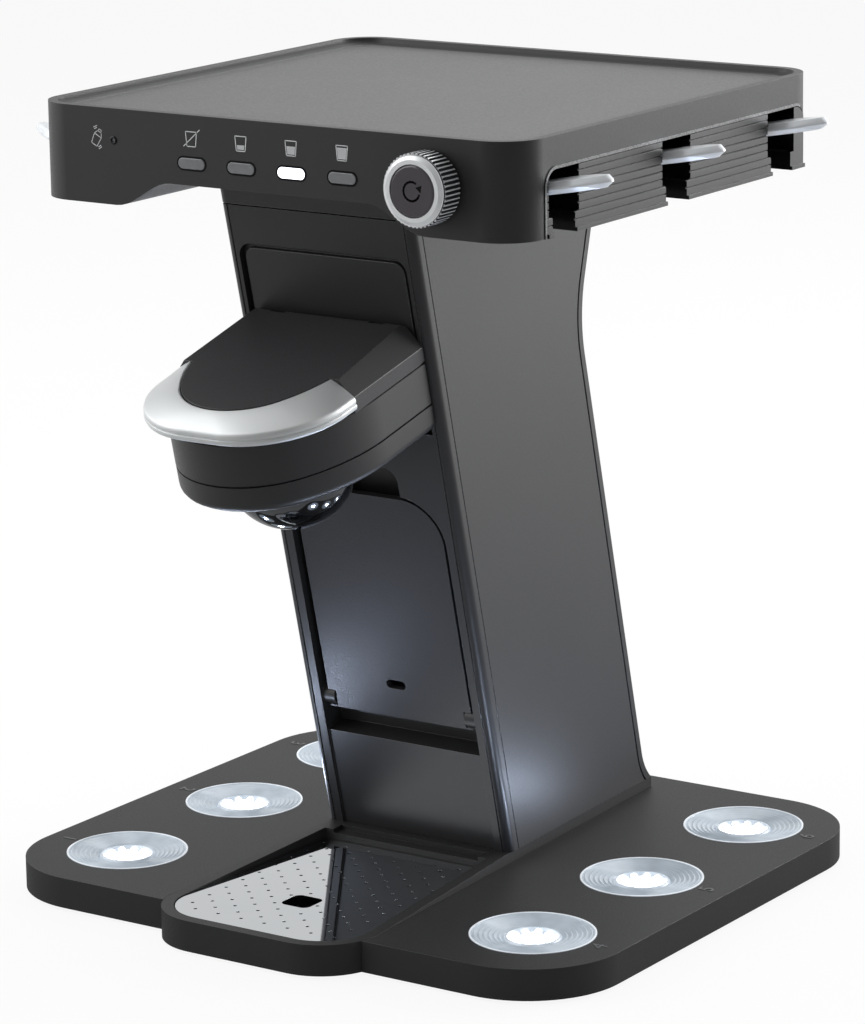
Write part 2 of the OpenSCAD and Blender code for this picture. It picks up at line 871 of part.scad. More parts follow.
module control_board() {
    y0 = chassis_y - card_off;
    top = card_z + card_h;
    color(green) at() lean() {
        translate([-card_half, y0, card_z]) cube([2 * card_half, board_t, card_h]);
        translate([-chip_w / 2, y0 - chip_h, card_z + card_half]) cube([chip_w, chip_h + eps, chip_w]);
        for (z = [card_z + 10, card_z + 22, top - 30])
            translate([card_half - relay_w - card_in, y0 - relay_h, z])
                cube([relay_w, relay_h + eps, relay_h]);
        for (i = [0:5]) translate([4 - card_half + i * plug_pitch, y0 - plug_h, top - 16])
            cube([plug_w, plug_h + eps, 10]);
        for (x = [card_in - card_half, card_half - card_in], z = [card_z + 4, top - 4])
            translate([x, y0 + board_t - eps, z]) rotate([-90, 0, 0])
                cylinder(h = card_off - board_t + eps, r = 3, $fn = 32);
    }
}

supply_half = 34;
supply_d = 34;
supply_z = 40;
supply_h = 96;
slot_half = 26;
slot_h = 4;
slot_pitch = 12;

module power_supply() {
    back = chassis_y + sheet_t + supply_d;
    color(steel) at() lean() difference() {
        translate([-supply_half, back - supply_d, supply_z]) cube([2 * supply_half, supply_d, supply_h]);
        for (i = [0:6]) translate([-slot_half, back - 1, supply_z + 10 + i * slot_pitch])
            cube([2 * slot_half, 2, slot_h]);
    }
}

pump_y = 36;
pump_z = 186;
pump_half = 22;
pump_d = 35;
pump_t = 38;
pump_ports = [pump_y + 9, pump_y + 26];
pump_lug = 3;
lug_spots = [for (x = [-16, 16], z = [4, 14]) [x, pump_z + z]];
motor_r = 17;
motor_l = 46;
nipple_l = 5;

module pump_head() {
    color(black) at() lean() difference() {
        union() {
            translate([-pump_half, pump_y, pump_z]) cube([2 * pump_half, pump_d, pump_t]);
            for (y = pump_ports) translate([0, y, pump_z + pump_t - eps])
                cylinder(h = nipple_l + eps, r = tube_r);
            for (p = lug_spots) translate([p[0], pocket_back, p[1]]) rotate([-90, 0, 0])
                cylinder(h = pump_y - pocket_back + 1, r = pump_lug, $fn = 32);
        }
        for (y = pump_ports) translate([0, y, pump_z + pump_t - nipple_l])
            cylinder(h = 2 * nipple_l + 1, r = tube_bore);
    }
}

module pump_motor() {
    color(steel) at() lean() translate([0, pump_y + pump_d, pump_z + pump_t / 2]) rotate([-90, 0, 0]) {
        cylinder(h = motor_l, r = motor_r);
        translate([0, 0, motor_l - eps]) cylinder(h = 4, r = motor_r / 3);
        for (s = [-1, 1]) translate([s * motor_r / 2 - 1, -0.4, motor_l - eps]) cube([2, 0.8, 8]);
    }
}

valve_lift = 273;
valve_z = plinth_top + valve_lift;
valve_h = 26;
valve_half = chassis_half + sheet_t;
valve_y = -28;
valve_d = 90;
valve_end = [-20, 52];
valve_side = [32, 22];
valve_ports = [for (s = [-1, 1]) each [[s * valve_side[0], valve_end[0]], [s * valve_side[1], docks[1]],
    [s * valve_side[0], valve_end[1]]]];
coil_r = 8;
coil_l = 10;
coil_pitch = 26;
stub_l = 14;
suction_z = (valve_z - plinth_top - lean_s * pump_ports[1]) / lean_c - coil_r;

module valve_block() {
    color(dark) at() difference() {
        union() {
            translate([-valve_half, valve_y, valve_z]) cube([2 * valve_half, valve_d, valve_h]);
            for (p = valve_ports) translate([p[0], p[1], valve_z + valve_h - eps])
                cylinder(h = nipple_l + eps, r = tube_r);
            for (i = [-1:1]) translate([i * coil_pitch, valve_y + valve_d - eps, valve_z + valve_h / 2])
                rotate([-90, 0, 0]) cylinder(h = coil_l, r = coil_r);
            lean() translate([0, pump_ports[1], suction_z]) cylinder(h = stub_l, r = tube_r);
        }
        for (p = valve_ports) translate([p[0], p[1], valve_z + valve_h - coil_r])
            cylinder(h = coil_r + 2 * nipple_l, r = tube_bore);
        lean() translate([0, pump_ports[1], suction_z - 1]) cylinder(h = stub_l + nipple_l, r = tube_bore);
    }
}

hose_bend = 14;
barb_l = 8;

module supply_tubes() {
    z1 = valve_z + valve_h + nipple_l;
    color(tube_col) at() for (s = [-1, 1]) {
        for (k = [0:2]) {
            px = valve_ports[3 + k][0];
            py = valve_ports[3 + k][1];
            ends = [s * (rail_in - barb_l), docks[k], barb_z];
            drop = [s * px, py, barb_z];
            foot = [s * px, py, z1];
            if (k == 1) hose([ends, drop, foot], tube_r, tube_bore, hose_bend);
            else hose([ends, [s * px, docks[k], barb_z], drop, foot], tube_r, tube_bore, hose_bend);
        }
    }
}

feed_z = 250;

module pump_tubes() {
    zp = pump_z + pump_t + nipple_l;
    color(tube_col) at() lean() {
        hose([[0, pump_ports[0], zp], [0, pump_ports[0], feed_z], [0, pod_y + neck_r + fit_gap, feed_z]],
            tube_r, tube_bore, 12);
        pipe([0, pump_ports[1], zp], [0, pump_ports[1], suction_z], tube_r, tube_bore);
    }
}

panel_in = 2.5;
panel_foot = 2;
panel_head = 3;
panel_r = 6;
panel_t = 5.1;
flange_t = 2.6;
flange_h = 4;
feed_gap = 0.3;

module head_panel() {
    color(black) at() lean() difference() {
        union() {
            along_y(panel_y, panel_t)
                arch2d(window_half - panel_in, window_z0 + panel_foot, window_z1 - panel_head, panel_r);
            along_y(face_t, flange_t)
                slab2d(window_half + panel_lip, window_z0 - flange_h, window_z1 + flange_h, flange_h);
            for (s = [-1, 1]) {
                translate([s * knuckle_x - knuckle_w / 2, lid_hinge_y, lid_hinge_z]) rotate([0, 90, 0])
                    cylinder(h = knuckle_w, r = knuckle_r, $fn = 48);
                translate([s * knuckle_x - knuckle_w / 2, lid_hinge_y, lid_hinge_z - knuckle_r / 2])
                    cube([knuckle_w, panel_y - lid_hinge_y + 1, knuckle_r]);
            }
        }
        translate([-barrel_l / 2, lid_hinge_y, lid_hinge_z]) rotate([0, 90, 0])
            cylinder(h = barrel_l, r = lid_pin_r, $fn = 48);
        translate([0, -5, feed_z]) rotate([-90, 0, 0]) cylinder(h = 30, r = tube_r + feed_gap, $fn = 32);
    }
}

module lid_pin() {
    color(steel) at() lean() translate([-barrel_l / 2, lid_hinge_y, lid_hinge_z]) rotate([0, 90, 0])
        cylinder(h = barrel_l, r = lid_pin_r, $fn = 48);
}

head_fillet = 5;
head_seam = 0.2;
head_floor = 3;
head_step = 7;
tongue_half = 46;
tongue_in = 2;
pod_bore = 31.4;
ledge_drop = 8;
ledge_t = 2.6;

// Tongue that reaches through the window to the panel between two heights
module head_tongue(z0, z1) {
    translate([-tongue_half, -1, z0]) cube([2 * tongue_half, 1 + panel_y, z1 - z0]);
}

module head_lower() {
    color(black) at() lean() difference() {
        union() {
            hull() for (i = [0:4]) {
                a = i * 22.5;
                translate([0, 0, head_z0 + head_fillet * (1 - sin(a))])
                    linear_extrude(i == 0 ? head_z1 - head_seam - head_z0 - head_fillet : 0.05)
                    head2d(head_fillet * (1 - cos(a)), 0, $fn = 48);
            }
            head_tongue(head_z0 + tongue_in, head_z1 - tongue_in);
        }
        translate([0, 0, head_z0 + head_floor]) linear_extrude(40) head2d(head_fillet + 0.6, -wall);
        translate([0, 0, head_z0 + head_step]) linear_extrude(40) head2d(wall, -wall);
        translate([0, pod_y, head_z0 - 1]) cylinder(h = 10, r = neck_r + fit_gap);
        translate([0, -10, feed_z]) rotate([-90, 0, 0]) cylinder(h = 30, r = tube_r + feed_gap, $fn = 32);
    }
}

module head_mid() {
    color(black) at() lean() difference() {
        union() {
            translate([0, 0, head_z1 + head_seam])
                linear_extrude(head_z2 - head_z1 - 2 * head_seam) head2d(0, 0);
            head_tongue(head_z1 + tongue_in, head_z2 - 2 * tongue_in);
        }
        difference() {
            translate([0, 0, head_z1 - 1]) linear_extrude(40) head2d(wall, -wall);
            translate([0, 0, head_z2 - ledge_drop]) linear_extrude(ledge_t) head2d(1, -1);
        }
        translate([0, pod_y, head_z1]) cylinder(h = 40, r = pod_bore);
    }
}

dome_t = 2;
outlet_r = 5.5;
neck_bore = 8.5;
neck_low = 4;
neck_h = 10;

module nozzle_dome() {
    color(chrome) at() lean() translate([0, pod_y, head_z0]) {
        union() {
            rotate_extrude($fn = 96) difference() {
                intersection() {
                    circle(dome_r, $fn = 96);
                    translate([0, -dome_r]) square([dome_r, dome_r]);
                }
                circle(dome_r - dome_t, $fn = 96);
                translate([0, -dome_r - 1]) square([outlet_r, dome_t + 4]);
            }
            rotate_extrude($fn = 96) translate([neck_bore, -neck_low]) square([neck_r - neck_bore, neck_h]);
            rotate_extrude($fn = 96) translate([neck_bore, -neck_low])
                square([dome_r - dome_t / 2 - neck_bore, dome_t]);
        }
    }
}

cup_drop = 5.4;
cup_top = head_z2 - cup_drop;
cup_deep = 21;
cup_foot = 25;
cup_mouth = 30.8;
cup_lip = 36;
cup_t = 2;
cup_hole = 4;

module pod_holder() {
    floor_z = cup_top - cup_deep;
    color(steel) at() lean() translate([0, pod_y, 0]) rotate_extrude($fn = 96)
        polygon([[cup_hole, floor_z], [cup_foot, floor_z], [cup_mouth, cup_top], [cup_lip, cup_top],
            [cup_lip, cup_top + cup_t], [cup_mouth - 1.4 * cup_t, cup_top + cup_t],
            [cup_mouth - 1.7 * cup_t, cup_top], [cup_foot - 0.9 * cup_t, floor_z + cup_t],
            [cup_hole, floor_z + cup_t]]);
}

needle_foot = 9;
needle_r = 2.4;
needle_tip = 1.6;
needle_low = 6;
needle_reach = 10;

module pierce_needle() {
    color(steel) at() lean() translate([0, pod_y, 0]) rotate_extrude($fn = 48)
        polygon([[0, head_z0 + needle_low], [needle_foot, head_z0 + needle_low],
            [needle_foot, head_z0 + needle_low + cup_t], [needle_r, head_z0 + needle_low + cup_t],
            [needle_tip, cup_top - needle_reach - 4], [0, cup_top - needle_reach]]);
}

// What would strike the column or the head behind the hinge when the lid swings up
module lid_swing(z0) {
    swing_r = lid_hinge_z - z0 - lid_swing_gap;
    difference() {
        translate([-big / 2, lid_hinge_y, z0 - 1]) cube([big, 60, 60]);
        translate([0, lid_hinge_y, lid_hinge_z]) along_x(big) circle(hinge_r);
        intersection() {
            translate([0, lid_hinge_y, lid_hinge_z]) along_x(big) circle(swing_r);
            translate([-big / 2, lid_hinge_y - 1, z0 - 5]) cube([big, 60, lid_hinge_z - z0 + 5]);
        }
    }
}

module lid_shell() {
    bottom = head_z2 + head_seam;
    lid_l = -lid_back_gap - handle_back;
    slot_half = knuckle_w / 2 + knuckle_gap;
    color(black) at() lean() difference() {
        union() {
            difference() {
                union() {
                    hull() {
                        translate([-head_half, handle_back, bottom]) cube([2 * head_half, lid_l, 8]);
                        translate([-head_half + lid_in, handle_back, lid_top + 1])
                            cube([2 * (head_half - lid_in), lid_l, 0.1]);
                    }
                    translate([0, 0, bottom]) linear_extrude(30) lid2d(0, handle_back + 1);
                }
                translate([0, 0, bottom - 1]) linear_extrude(lid_top - lid_roof - bottom + 1) {
                    lid2d(wall, handle_back + 1);
                    translate([-head_half + lid_in + wall, handle_back]) square(
                        [2 * (head_half - lid_in - wall), lid_hinge_y - hinge_r - wall - handle_back]);
                }
                lid_swing(bottom);
            }
            translate([-barrel_l / 2, lid_hinge_y, lid_hinge_z]) rotate([0, 90, 0])
                cylinder(h = barrel_l, r = hinge_r, $fn = 64);
            translate([-barrel_l / 2, lid_hinge_y - 6, lid_hinge_z - 4]) cube([barrel_l, 5.6, 8]);
        }
        above_lid();
        for (s = [-1, 1]) translate([s * knuckle_x - slot_half, lid_hinge_y, lid_hinge_z]) {
            translate([0, 0, -20]) cube([2 * slot_half, 20, 40]);
            rotate([0, 90, 0]) cylinder(h = 2 * slot_half, r = knuckle_r + knuckle_gap, $fn = 48);
        }
        translate([-barrel_l / 2 - knuckle_gap, lid_hinge_y, lid_hinge_z]) rotate([0, 90, 0])
            cylinder(h = barrel_l + 2 * knuckle_gap, r = lid_pin_r + run_gap, $fn = 48);
    }
}

// Outer outline of the handle shrunk by g
module handle2d(g) {
    trap2d(handle_front + g, handle_half - g, 0, handle_r - g, handle_back);
}

handle_lift = 2.4;
handle_round = 1.2;
handle_lip = 4.5;

module lid_handle() {
    bottom = head_z2 + handle_lift;
    color(silver) at() lean() difference() {
        hull() {
            translate([0, 0, bottom]) linear_extrude(0.1) handle2d(handle_round, $fn = 64);
            translate([0, 0, bottom + handle_round + 0.3]) linear_extrude(handle_lip) handle2d(0, $fn = 64);
            translate([0, 0, bottom + handle_lip + 2.5])
                linear_extrude(0.1) handle2d(handle_round / 2, $fn = 64);
            translate([0, 0, lid_top - 1]) linear_extrude(0.1) lid2d(-0.4, handle_back, $fn = 64);
        }
        above_lid();
        translate([0, 0, bottom - 5]) linear_extrude(60) lid2d(-fit_gap, handle_back + 1);
        translate([-100, handle_back - fit_gap, 0]) cube([200, 60, 400]);
    }
}

lid_roof = 8;
plunger_r = 20;
plunger_z = 2;
plunger_t = 3;
stem_half = 10;
seal_w = 5;
seal_gap = 0.6;

module lid_plunger() {
    top = lid_top - lid_roof;
    low = head_z2 + plunger_z;
    color(dark) at() lean() translate([0, pod_y, 0]) rotate_extrude($fn = 64)
        polygon([[0, low - 3.5], [1.5, low], [plunger_r, low], [plunger_r, low + plunger_t],
            [stem_half, low + plunger_t], [stem_half, top], [0, top]]);
}

module lid_seal() {
    low = head_z2 + plunger_z - seal_gap;
    color(rubber) at() lean() translate([0, pod_y, 0]) rotate_extrude($fn = 64)
        polygon([[plunger_r, low], [plunger_r + seal_w - 1, low - 1], [plunger_r + seal_w, low],
            [plunger_r + seal_w, low + plunger_t + 0.2], [plunger_r, low + plunger_t + 0.2]]);
}

shelf_skin = 2;
shelf_rim = 3;
shelf_ribs = [-24, 0, 24];
rib_w = 2;
rib_lap = 0.2;
grip_z = 14;
grip = [12, 5];
grip_rim = [18, 10];

module cup_shelf() {
    color(black) at() lean() difference() {
        union() {
            difference() {
                along_y(shelf_y, shelf_t) arch2d(shelf_half, shelf_z0, shelf_z1, shelf_r);
                along_y(shelf_y + shelf_skin, shelf_t) translate([0, shelf_hinge_z + grip_z])
                    arch2d(shelf_half - shelf_rim, 0, shelf_z1 - shelf_hinge_z - grip_z - shelf_rim,
                        shelf_r - shelf_rim);
            }
            for (x = shelf_ribs) translate([x - rib_w / 2, shelf_y + shelf_skin - rib_lap, shelf_hinge_z + 8])
                cube([rib_w, shelf_t - shelf_skin + rib_lap, shelf_z1 - shelf_hinge_z - 26]);
            along_y(shelf_y + shelf_skin - rib_lap, shelf_t - shelf_skin + rib_lap)
                translate([0, shelf_hinge_z + grip_z]) pill2d(grip_rim[0], grip_rim[1]);
            translate([-shelf_half + ear_w + ear_gap, shelf_hinge_y, shelf_hinge_z]) rotate([0, 90, 0])
                cylinder(h = 2 * (shelf_half - ear_w - ear_gap), r = shelf_barrel_r, $fn = 64);
        }
        shelf_ears(shelf_half - ear_w - ear_gap, shelf_half + 1, ear_r + ear_gap);
        along_y(shelf_y - 1, 20) translate([0, shelf_hinge_z + grip_z]) pill2d(grip[0], grip[1]);
        translate([-open_half, shelf_hinge_y, shelf_hinge_z]) rotate([0, 90, 0])
            cylinder(h = 2 * open_half, r = shelf_pin_r + run_gap, $fn = 48);
    }
}

module shelf_pin() {
    color(steel) at() lean() translate([-open_half - pin_end, shelf_hinge_y, shelf_hinge_z])
        rotate([0, 90, 0]) cylinder(h = 2 * (open_half + pin_end), r = shelf_pin_r, $fn = 48);
}

side_r = 8;
boss_d = 9;
dip_slope = 4;
dip_fillet = 1.2;
tray_screw_in = [21.3, 15.4];
tray_screw_x = 100;
tray_screw_back = 9.7;
tray_spots = [for (s = [-1, 1]) each [[s * (tray_half - tray_screw_in[0]), tray_front + tray_screw_in[1]],
    [s * tray_screw_x, tray_back - tray_screw_back]]];

module tray_shell() {
    color(black) at() difference() {
        union() {
            translate([0, 0, tray_z0]) linear_extrude(tray_h) tray2d(0);
            intersection() {
                translate([0, 0, tray_z0]) linear_extrude(tray_h) tray2d(-bead_out);
                for (s = [-1, 1]) translate([s * tray_half, rail_mid, 0]) along_x(24)
                    arch2d(rail_half + rail_gap + bead_w, tray_z0, rail_top + rail_gap + bead_w,
                        side_r + rail_gap + bead_w);
            }
        }
        difference() {
            translate([0, 0, tray_z0 - 1]) linear_extrude(tray_floor - tray_wall - tray_z0 + 1)
                tray2d(tray_wall);
            for (p = tray_spots) translate([p[0], p[1], tray_z0 + wall + 0.2]) cylinder(h = 80, d = boss_d);
        }
        hull() {
            translate([0, 0, tray_floor]) linear_extrude(0.1) tray2d(top_rim + dip_slope, $fn = 48);
            translate([0, 0, tray_floor + dip_fillet])
                linear_extrude(0.1) tray2d(top_rim + dip_fillet, $fn = 48);
            translate([0, 0, tray_top + 0.1]) linear_extrude(0.1) tray2d(top_rim, $fn = 48);
        }
        along_y(-300, 600) arch2d_void(0);
        for (s = [-1, 1]) translate([s * tray_half, rail_mid, 0]) along_x(24)
            arch2d(rail_half + rail_gap, tray_z0 - 5, rail_top + rail_gap, side_r + rail_gap);
        for (i = [-1.5:1.5]) along_y(tray_front - 1, 10) translate([i * pill_pitch, pill_z])
            pill2d(pill_l + 2 * fit_gap, pill_h + 2 * fit_gap);
        along_y(tray_front - 1, 10) translate([sign_x, sign_z]) circle(sign_r + fit_gap, $fn = 32);
        along_y(tray_front - 1, 10) translate([dial_x, dial_z]) circle(7 + fit_gap);
        for (p = tray_spots) translate([p[0], p[1], tray_z0]) cylinder(h = 20, r = screw_r + 0.1);
    }
}

module tray_bottom() {
    color(dark) at() difference() {
        intersection() {
            along_y(-300, 600) difference() {
                arch2d_void(wall);
                arch2d_void(0);
            }
            translate([0, 0, tray_z0 - 20]) linear_extrude(60) tray2d(tray_wall + fit_gap);
        }
        for (s = [0, 1]) mirror([s, 0, 0]) translate([rail_in - rail_gap, rail_y0 - rail_gap, tray_z0 - 5])
            cube([60, rail_y1 - rail_y0 + 2 * rail_gap, 40]);
        translate([-44, -60, arch_z - 5]) cube([88, 130, 20]);
        for (p = tray_spots) translate([p[0], p[1], tray_z0 - 1]) {
            cylinder(h = 20, r = screw_r + 0.2);
            cylinder(h = 2.4, r = 3.6);
        }
    }
}

// Ribbed rail with three bottle docks
module dock_rail() {
    pocket_l = bay_pitch - dock_w - 2 * dock_post;
    difference() {
        union() {
            translate([(rail_in + rail_out) / 2, rail_mid, 0]) along_x(rail_out - rail_in)
                arch2d(rail_half, tray_z0, rail_top, side_r);
            translate([rail_out - sill_in, rail_y0, tray_z0])
                cube([sill_in + sill_out, 2 * rail_half, sill_t]);
        }
        for (i = [1:rib_n]) translate([rail_out - rib_cut, rail_y0 - 1, tray_z0 + rib_z + i * rib_pitch])
            cube([big, docks[2] - rail_y0 + 1, rib_cut]);
        for (y = docks) {
            translate([rail_in + rail_skin, y - dock_w / 2, ledge_z]) cube([big, dock_w, big]);
            translate([bay_x, y, tray_z0 - 1]) cylinder(h = rail_h + 2, r = throat_w / 2);
            translate([bay_x, y - throat_w / 2, tray_z0 - 1]) cube([big, throat_w, rail_h + 2]);
            translate([lever_x, y - dock_w / 2 - rail_skin, lever_z]) rotate([-90, 0, 0])
                cylinder(h = dock_w + 2 * rail_skin, r = lever_pin_r, $fn = 32);
            translate([rail_in - 1, y, barb_z]) rotate([0, 90, 0])
                cylinder(h = rail_skin + 5, r = barb_r + fit_gap, $fn = 32);
        }
        for (k = [0, 1])
            translate([rail_in + rail_skin, (docks[k] + docks[k + 1] - pocket_l) / 2, tray_z0 + rail_floor])
                cube([rail_out - rail_in - 2 * rail_skin, pocket_l, big]);
    }
}

module dock_rail_right() {
    color(black) at() dock_rail();
}

module dock_rail_left() {
    color(black) at() mirror([1, 0, 0]) dock_rail();
}

// Outline of a lever from above, shrunk by g
module lever2d(g) {
    r = lever_half - g;
    hull() {
        translate([0, -r]) square([lever_flat, 2 * r]);
        translate([lever_flat + lever_swell, 0]) circle(r - 1, $fn = 48);
        translate([lever_len - lever_tip_r - g, 0]) circle(lever_tip_r, $fn = 32);
    }
}

// Silver lever of one dock at station y, keeled below and crowned above
module lever(y) {
    h = lever_t / 2;
    translate([lever_x, y, lever_z]) rotate([0, -lever_tilt, 0]) difference() {
        union() {
            hull() {
                translate([0, 0, -h]) linear_extrude(0.1) lever2d(lever_keel);
                translate([0, 0, -0.5]) linear_extrude(1) lever2d(0);
                translate([0, 0, h - 0.1]) linear_extrude(0.1) lever2d(lever_crown);
            }
            rotate([90, 0, 0]) cylinder(h = 2 * lever_half, r = lever_eye, center = true, $fn = 48);
        }
        rotate([90, 0, 0]) cylinder(h = dock_w, r = lever_pin_r + run_gap, center = true, $fn = 32);
    }
}

module lever_right_1() {
    color(silver) at() lever(docks[0]);
}

module lever_right_2() {
    color(silver) at() lever(docks[1]);
}

module lever_right_3() {
    color(silver) at() lever(docks[2]);
}

module lever_left_1() {
    color(silver) at() mirror([1, 0, 0]) lever(docks[0]);
}

module lever_left_2() {
    color(silver) at() mirror([1, 0, 0]) lever(docks[1]);
}

module lever_left_3() {
    color(silver) at() mirror([1, 0, 0]) lever(docks[2]);
}

module lever_pins() {
    color(steel) at() for (s = [-1, 1], y = docks)
        translate([s * lever_x, y - dock_w / 2 - lever_pin_end, lever_z]) rotate([-90, 0, 0])
            cylinder(h = dock_w + 2 * lever_pin_end, r = lever_pin_r, $fn = 32);
}

module neck_couplers() {
    color(tube_col) at() for (s = [-1, 1], y = docks) mirror([s > 0 ? 0 : 1, 0, 0]) difference() {
        union() {
            translate([rail_in - barb_l, y, barb_z]) rotate([0, 90, 0])
                cylinder(h = barb_l + rail_skin, r = barb_r, $fn = 32);
            translate([rail_in - barb_r, y, barb_z]) rotate([0, 90, 0])
                cylinder(h = barb_r, r = 2.2 * barb_r, $fn = 32);
        }
        translate([rail_in - barb_l - 1, y, barb_z]) rotate([0, 90, 0])
            cylinder(h = barb_l + 6, r = 1.1, $fn = 24);
    }
}

pill_proud = 0.3;
pill_back = 3;
pill_flange = [4, 3, 2];
sign_sink = 0.4;

// One level light pipe
module level_light(i) {
    along_y(tray_front - pill_proud, tray_wall + pill_back + pill_proud) translate([i * pill_pitch, pill_z])
        pill2d(pill_l, pill_h);
    along_y(tray_front + tray_wall, pill_flange[2]) translate([i * pill_pitch, pill_z])
        pill2d(pill_l + pill_flange[0], pill_h + pill_flange[1]);
}

module level_lights() {
    color(clear) at() for (i = [-1.5, -0.5, 1.5]) level_light(i);
}

module level_light_lit() {
    color([1, 1, 1]) at() level_light(0.5);
}

module indicator_lens() {
    color(dark) at() along_y(tray_front + sign_sink, tray_wall + 4) translate([sign_x, sign_z])
        circle(sign_r, $fn = 32);
}

ring_r = dial_d / 2;
bush_r = 6.5;
cap_gap = 0.3;
stem_r = 2.5;

module dial_ring() {
    tip = 0.75;
    step = 360 / knurls;
    color(silver) at() translate([dial_x, tray_front - 0.6, dial_z]) rotate([90, 0, 0]) difference() {
        union() {
            translate([0, 0, 1.6]) linear_extrude(dial_out - 4.6) polygon([for (k = [0:knurls - 1],
                q = [[0, 0], [0.3, tip], [0.62, tip], [0.92, 0]])
                (ring_r - tip + q[1]) * [cos((k + q[0]) * step), sin((k + q[0]) * step)]]);
            cylinder(h = dial_out - 2, r = ring_r - tip, $fn = 96);
            translate([0, 0, dial_out - 2.4])
                cylinder(h = 1.8, r1 = ring_r - tip, r2 = ring_r - 3, $fn = 96);
        }
        translate([0, 0, 5]) cylinder(h = 40, r = cap_d / 2 + cap_gap, $fn = 96);
        translate([0, 0, -1]) cylinder(h = 20, r = bush_r + run_gap, $fn = 64);
    }
}

module dial_bushing() {
    color(steel) at() translate([dial_x, tray_front, dial_z]) rotate([90, 0, 0]) difference() {
        union() {
            translate([0, 0, -tray_wall - 12]) cylinder(h = 12, r = 10);
            translate([0, 0, -tray_wall - eps]) cylinder(h = tray_wall + 0.3, r = 7);
            translate([0, 0, 0.2]) cylinder(h = 5.2, r = bush_r);
        }
        translate([0, 0, -tray_wall - 6]) cylinder(h = 40, r = stem_r + 0.1);
    }
}

cap_travel = 1.6;

module dial_cap() {
    face = dial_out - 0.3;
    color([0.3, 0.3, 0.31]) at() translate([dial_x, tray_front - 0.6, dial_z]) rotate([90, 0, 0]) {
        translate([0, 0, 5.4 + cap_travel]) cylinder(h = face - 5.4 - cap_travel - 0.8, d = cap_d, $fn = 96);
        translate([0, 0, face - 0.8 - eps]) cylinder(h = 0.8, d1 = cap_d, d2 = cap_d - 2, $fn = 96);
        translate([0, 0, -tray_wall - 6 + cap_travel])
            cylinder(h = tray_wall + 11.4 + eps, r = stem_r, $fn = 48);
    }
}

board_post = 9;
board_left = 14.3;
board_right = 25;
board_low = 7.5;
board_h = 20.5;

module panel_board() {
    y0 = tray_front + tray_wall + board_post;
    x0 = sign_x - board_left;
    color(green) at() {
        translate([x0, y0, pill_z - board_low]) cube([dial_x - board_right - x0, board_t, board_h]);
        for (i = [-1.5:1.5]) translate([i * pill_pitch - 3, y0 - 1.4, pill_z - 2]) cube([6, 1.5, 4]);
        translate([sign_x - 2, y0 - 1.2, sign_z - 2]) cube([4, 1.3, 4]);
        translate([40, y0 + board_t - eps, pill_z - 6]) cube([22, 5, 12]);
        for (x = [-76, 0, 62]) along_y(tray_front + tray_wall, board_post + eps) translate([x, pill_z])
            circle(2.5, $fn = 32);
    }
}

base_deck();
base_pan();
plinth();
rubber_feet();
lens_left();
lens_right();
led_board_left();
led_board_right();
power_inlet();
base_screws();
drip_cup();
drip_plate();
column_front();
side_panel_left();
side_panel_right();
rear_cover();
neck_collar();
chassis();
control_board();
power_supply();
pump_head();
pump_motor();
valve_block();
supply_tubes();
pump_tubes();
cover_screws();
head_panel();
head_lower();
head_mid();
nozzle_dome();
pod_holder();
pierce_needle();
lid_pin();
lid_shell();
lid_handle();
lid_plunger();
lid_seal();
cup_shelf();
shelf_pin();
tray_shell();
tray_bottom();
dock_rail_left();
dock_rail_right();
lever_left_1();
lever_left_2();
lever_left_3();
lever_right_1();
lever_right_2();
lever_right_3();
lever_pins();
neck_couplers();
level_lights();
level_light_lit();
indicator_lens();
dial_ring();
dial_cap();
dial_bushing();
panel_board();
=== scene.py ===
"""Dressed model of a counter-top cocktail machine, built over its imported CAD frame.

The frame gives every solid in metres. The classes below replace the visible shells by soft-edged
pieces, add the lights, signs and lenses, and give every solid the finish of its real material.
Sizes are in millimetres where a name doesn't say otherwise.
"""

import json
import logging
import math
from dataclasses import dataclass, field, replace
from enum import Enum, IntEnum
from typing import ClassVar, Sequence

import bmesh
import bpy
from mathutils import Matrix, Vector


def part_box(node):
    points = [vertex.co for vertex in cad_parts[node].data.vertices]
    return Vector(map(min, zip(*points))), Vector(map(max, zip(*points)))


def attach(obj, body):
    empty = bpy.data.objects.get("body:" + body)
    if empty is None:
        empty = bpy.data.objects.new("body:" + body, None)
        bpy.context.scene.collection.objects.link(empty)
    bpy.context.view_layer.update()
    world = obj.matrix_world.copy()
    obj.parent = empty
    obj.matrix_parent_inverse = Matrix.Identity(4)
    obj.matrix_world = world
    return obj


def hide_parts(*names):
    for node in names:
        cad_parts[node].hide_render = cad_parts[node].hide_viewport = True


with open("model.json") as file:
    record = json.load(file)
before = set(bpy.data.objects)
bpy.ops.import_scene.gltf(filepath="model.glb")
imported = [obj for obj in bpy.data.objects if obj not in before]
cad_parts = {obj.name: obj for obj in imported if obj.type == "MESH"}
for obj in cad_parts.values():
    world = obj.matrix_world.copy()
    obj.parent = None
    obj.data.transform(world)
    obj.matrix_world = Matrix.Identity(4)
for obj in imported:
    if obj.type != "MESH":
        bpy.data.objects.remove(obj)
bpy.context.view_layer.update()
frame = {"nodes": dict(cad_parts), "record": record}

LOG = logging.getLogger("cocktail_machine")
MM = 0.001
FULL_TURN = 2.0 * math.pi
BMesh = bmesh.types.BMesh
Tree = bpy.types.NodeTree
Node = bpy.types.Node
Point = tuple[float, float]

# Distances in metres under which points merge, angles between faces, and facets of a pill
NODE_MERGE = 0.002 * MM
FINE_MERGE = 0.001 * MM
FLAT_DEG = 0.4
HARD_DEG = 30.0
SMOOTH_DEG = 40.0
PILL_STEPS = 48
PILL_EDGE_STEPS = 4

